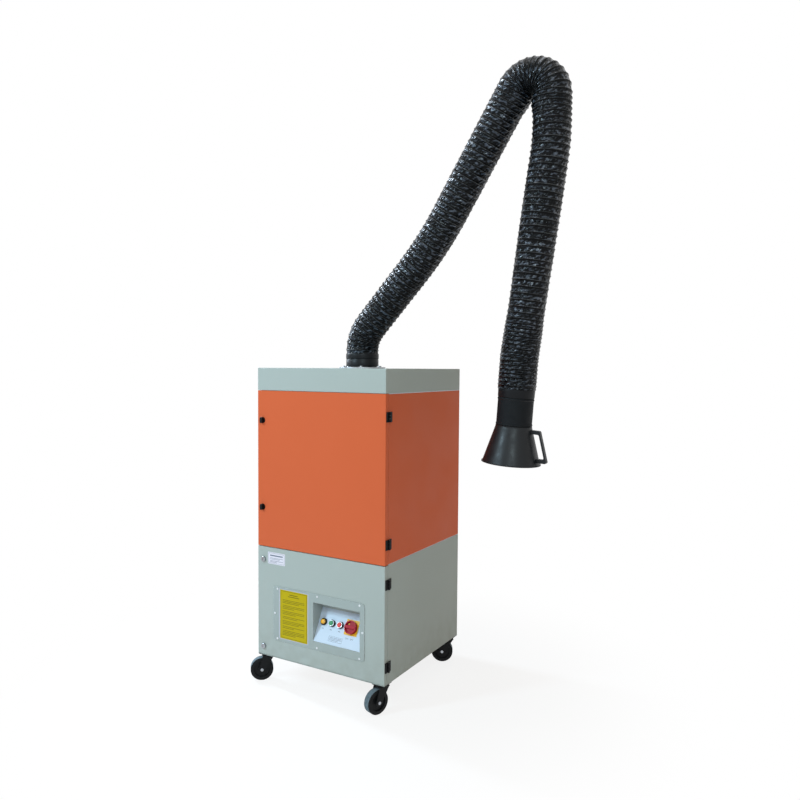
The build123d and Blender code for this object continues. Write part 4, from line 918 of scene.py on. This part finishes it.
floor_half, floor_grey = 40, 0.9
shadow_near, shadow_far, white_near_object = 0.5, 1.5, 0.84
ambient_colour, ambient_strength = (1.0, 0.80, 0.60, 1), 0.31
lamp_distance = 4.2
middle_aim, upper_aim, cabinet_aim = (0.4, 0.0, 1.2), (0.4, 0.0, 1.6), (0.15, 0.0, 1.1)
camera_place = (1.78625, -2.69625, 1.374625)
focal_length, sensor_width = 32.4945, 36.0


def seen_directly(tree):
    """1 for rays from the camera, or that reach it by a reflection or through glass, and 0 for the rest."""
    paths = tree.nodes.new("ShaderNodeLightPath").outputs
    seen = math_node(tree, "MAXIMUM", paths["Is Camera Ray"], paths["Is Glossy Ray"])
    return math_node(tree, "MAXIMUM", seen, paths["Is Transmission Ray"])


def show_mixed(tree, share, first, second, output):
    """Shows the second shader by a share, and else the first."""
    mix = tree.nodes.new("ShaderNodeMixShader")
    for source, socket in zip((share, first, second), mix.inputs):
        tree.links.new(source, socket)
    tree.links.new(mix.outputs["Shader"], tree.nodes[output].inputs["Surface"])


def floor_material():
    """Pale floor that keeps the shadow near the object and turns plain white further out."""
    material = bpy.data.materials.new("floor")
    material.use_nodes = True
    tree = material.node_tree
    shader = tree.nodes["Principled BSDF"]
    shader.inputs["Base Color"].default_value = (floor_grey, floor_grey, floor_grey, 1)
    shader.inputs["Roughness"].default_value = 0.9
    shader.inputs["Specular IOR Level"].default_value = 0.1
    white = tree.nodes.new("ShaderNodeEmission")
    coords = tree.nodes.new("ShaderNodeTexCoord")
    distance = tree.nodes.new("ShaderNodeVectorMath")
    distance.operation = "LENGTH"
    tree.links.new(coords.outputs["Object"], distance.inputs[0])
    fade = range_node(tree, shadow_near, shadow_far, white_near_object, 1.0)
    fade.interpolation_type = "SMOOTHSTEP"
    tree.links.new(distance.outputs["Value"], fade.inputs["Value"])
    share = math_node(tree, "MULTIPLY", seen_directly(tree), fade.outputs["Result"])
    show_mixed(tree, share, shader.outputs["BSDF"], white.outputs["Emission"], "Material Output")
    return material


ground_mesh = bmesh.new()
bmesh.ops.create_grid(ground_mesh, x_segments=1, y_segments=1, size=floor_half)
ground_data = bpy.data.meshes.new("ground")
ground_mesh.to_mesh(ground_data)
ground_mesh.free()
ground_data.materials.append(floor_material())
ground = new_object("ground", ground_data)

world = bpy.data.worlds.new("studio")
bpy.context.scene.world = world
world.use_nodes = True
sky = world.node_tree
ambient = sky.nodes["Background"]
ambient.inputs["Color"].default_value = ambient_colour
ambient.inputs["Strength"].default_value = ambient_strength
backdrop = sky.nodes.new("ShaderNodeBackground")
backdrop.inputs["Color"].default_value = (1, 1, 1, 1)
show_mixed(
    sky, seen_directly(sky), ambient.outputs["Background"], backdrop.outputs["Background"], "World Output"
)


def lamp(name, azimuth, elevation, size, power, colour, target):
    """A soft rectangular lamp. Azimuth 0 is in front of the doors and goes round towards +X."""
    data = bpy.data.lights.new(name, "AREA")
    data.shape = "RECTANGLE"
    data.size, data.size_y = size
    data.energy = power
    data.color = colour
    turn, rise = math.radians(azimuth), math.radians(elevation)
    back = Vector((math.sin(turn) * math.cos(rise), -math.cos(turn) * math.cos(rise), math.sin(rise)))
    shape = new_object(name, data)
    shape.location = Vector(target) + back * lamp_distance
    shape.rotation_euler = (-back).to_track_quat("-Z", "Y").to_euler()


lamp("window", -34, 26, size=(0.4, 1.3), power=92, colour=(0.66, 0.92, 1.08), target=middle_aim)
lamp("front", 30, 26, size=(0.36, 1.1), power=46, colour=(0.78, 0.99, 1.06), target=middle_aim)
lamp("edge", -92, 24, size=(0.22, 2.4), power=190, colour=(0.72, 0.86, 1.0), target=upper_aim)
lamp("top", 10, 82, size=(2.0, 2.0), power=24, colour=(1.0, 1.0, 1.0), target=cabinet_aim)

yaw, pitch, roll = math.radians(30.53), math.radians(-2.61), math.radians(0.39)
ahead = Vector((-math.sin(yaw) * math.cos(pitch), math.cos(yaw) * math.cos(pitch), math.sin(pitch)))
level = Vector((math.cos(yaw), math.sin(yaw), 0))
above = level.cross(ahead)
right = math.cos(roll) * level + math.sin(roll) * above
up = -math.sin(roll) * level + math.cos(roll) * above
camera_data = bpy.data.cameras.new("camera")
camera_data.lens = focal_length
camera_data.sensor_width = sensor_width
camera = new_object("camera", camera_data)
camera_rows = [[right[i], up[i], -ahead[i], camera_place[i]] for i in range(3)]
camera.matrix_world = Matrix(camera_rows + [[0, 0, 0, 1]])
bpy.context.scene.camera = camera
bpy.context.scene.view_settings.view_transform = "Standard"
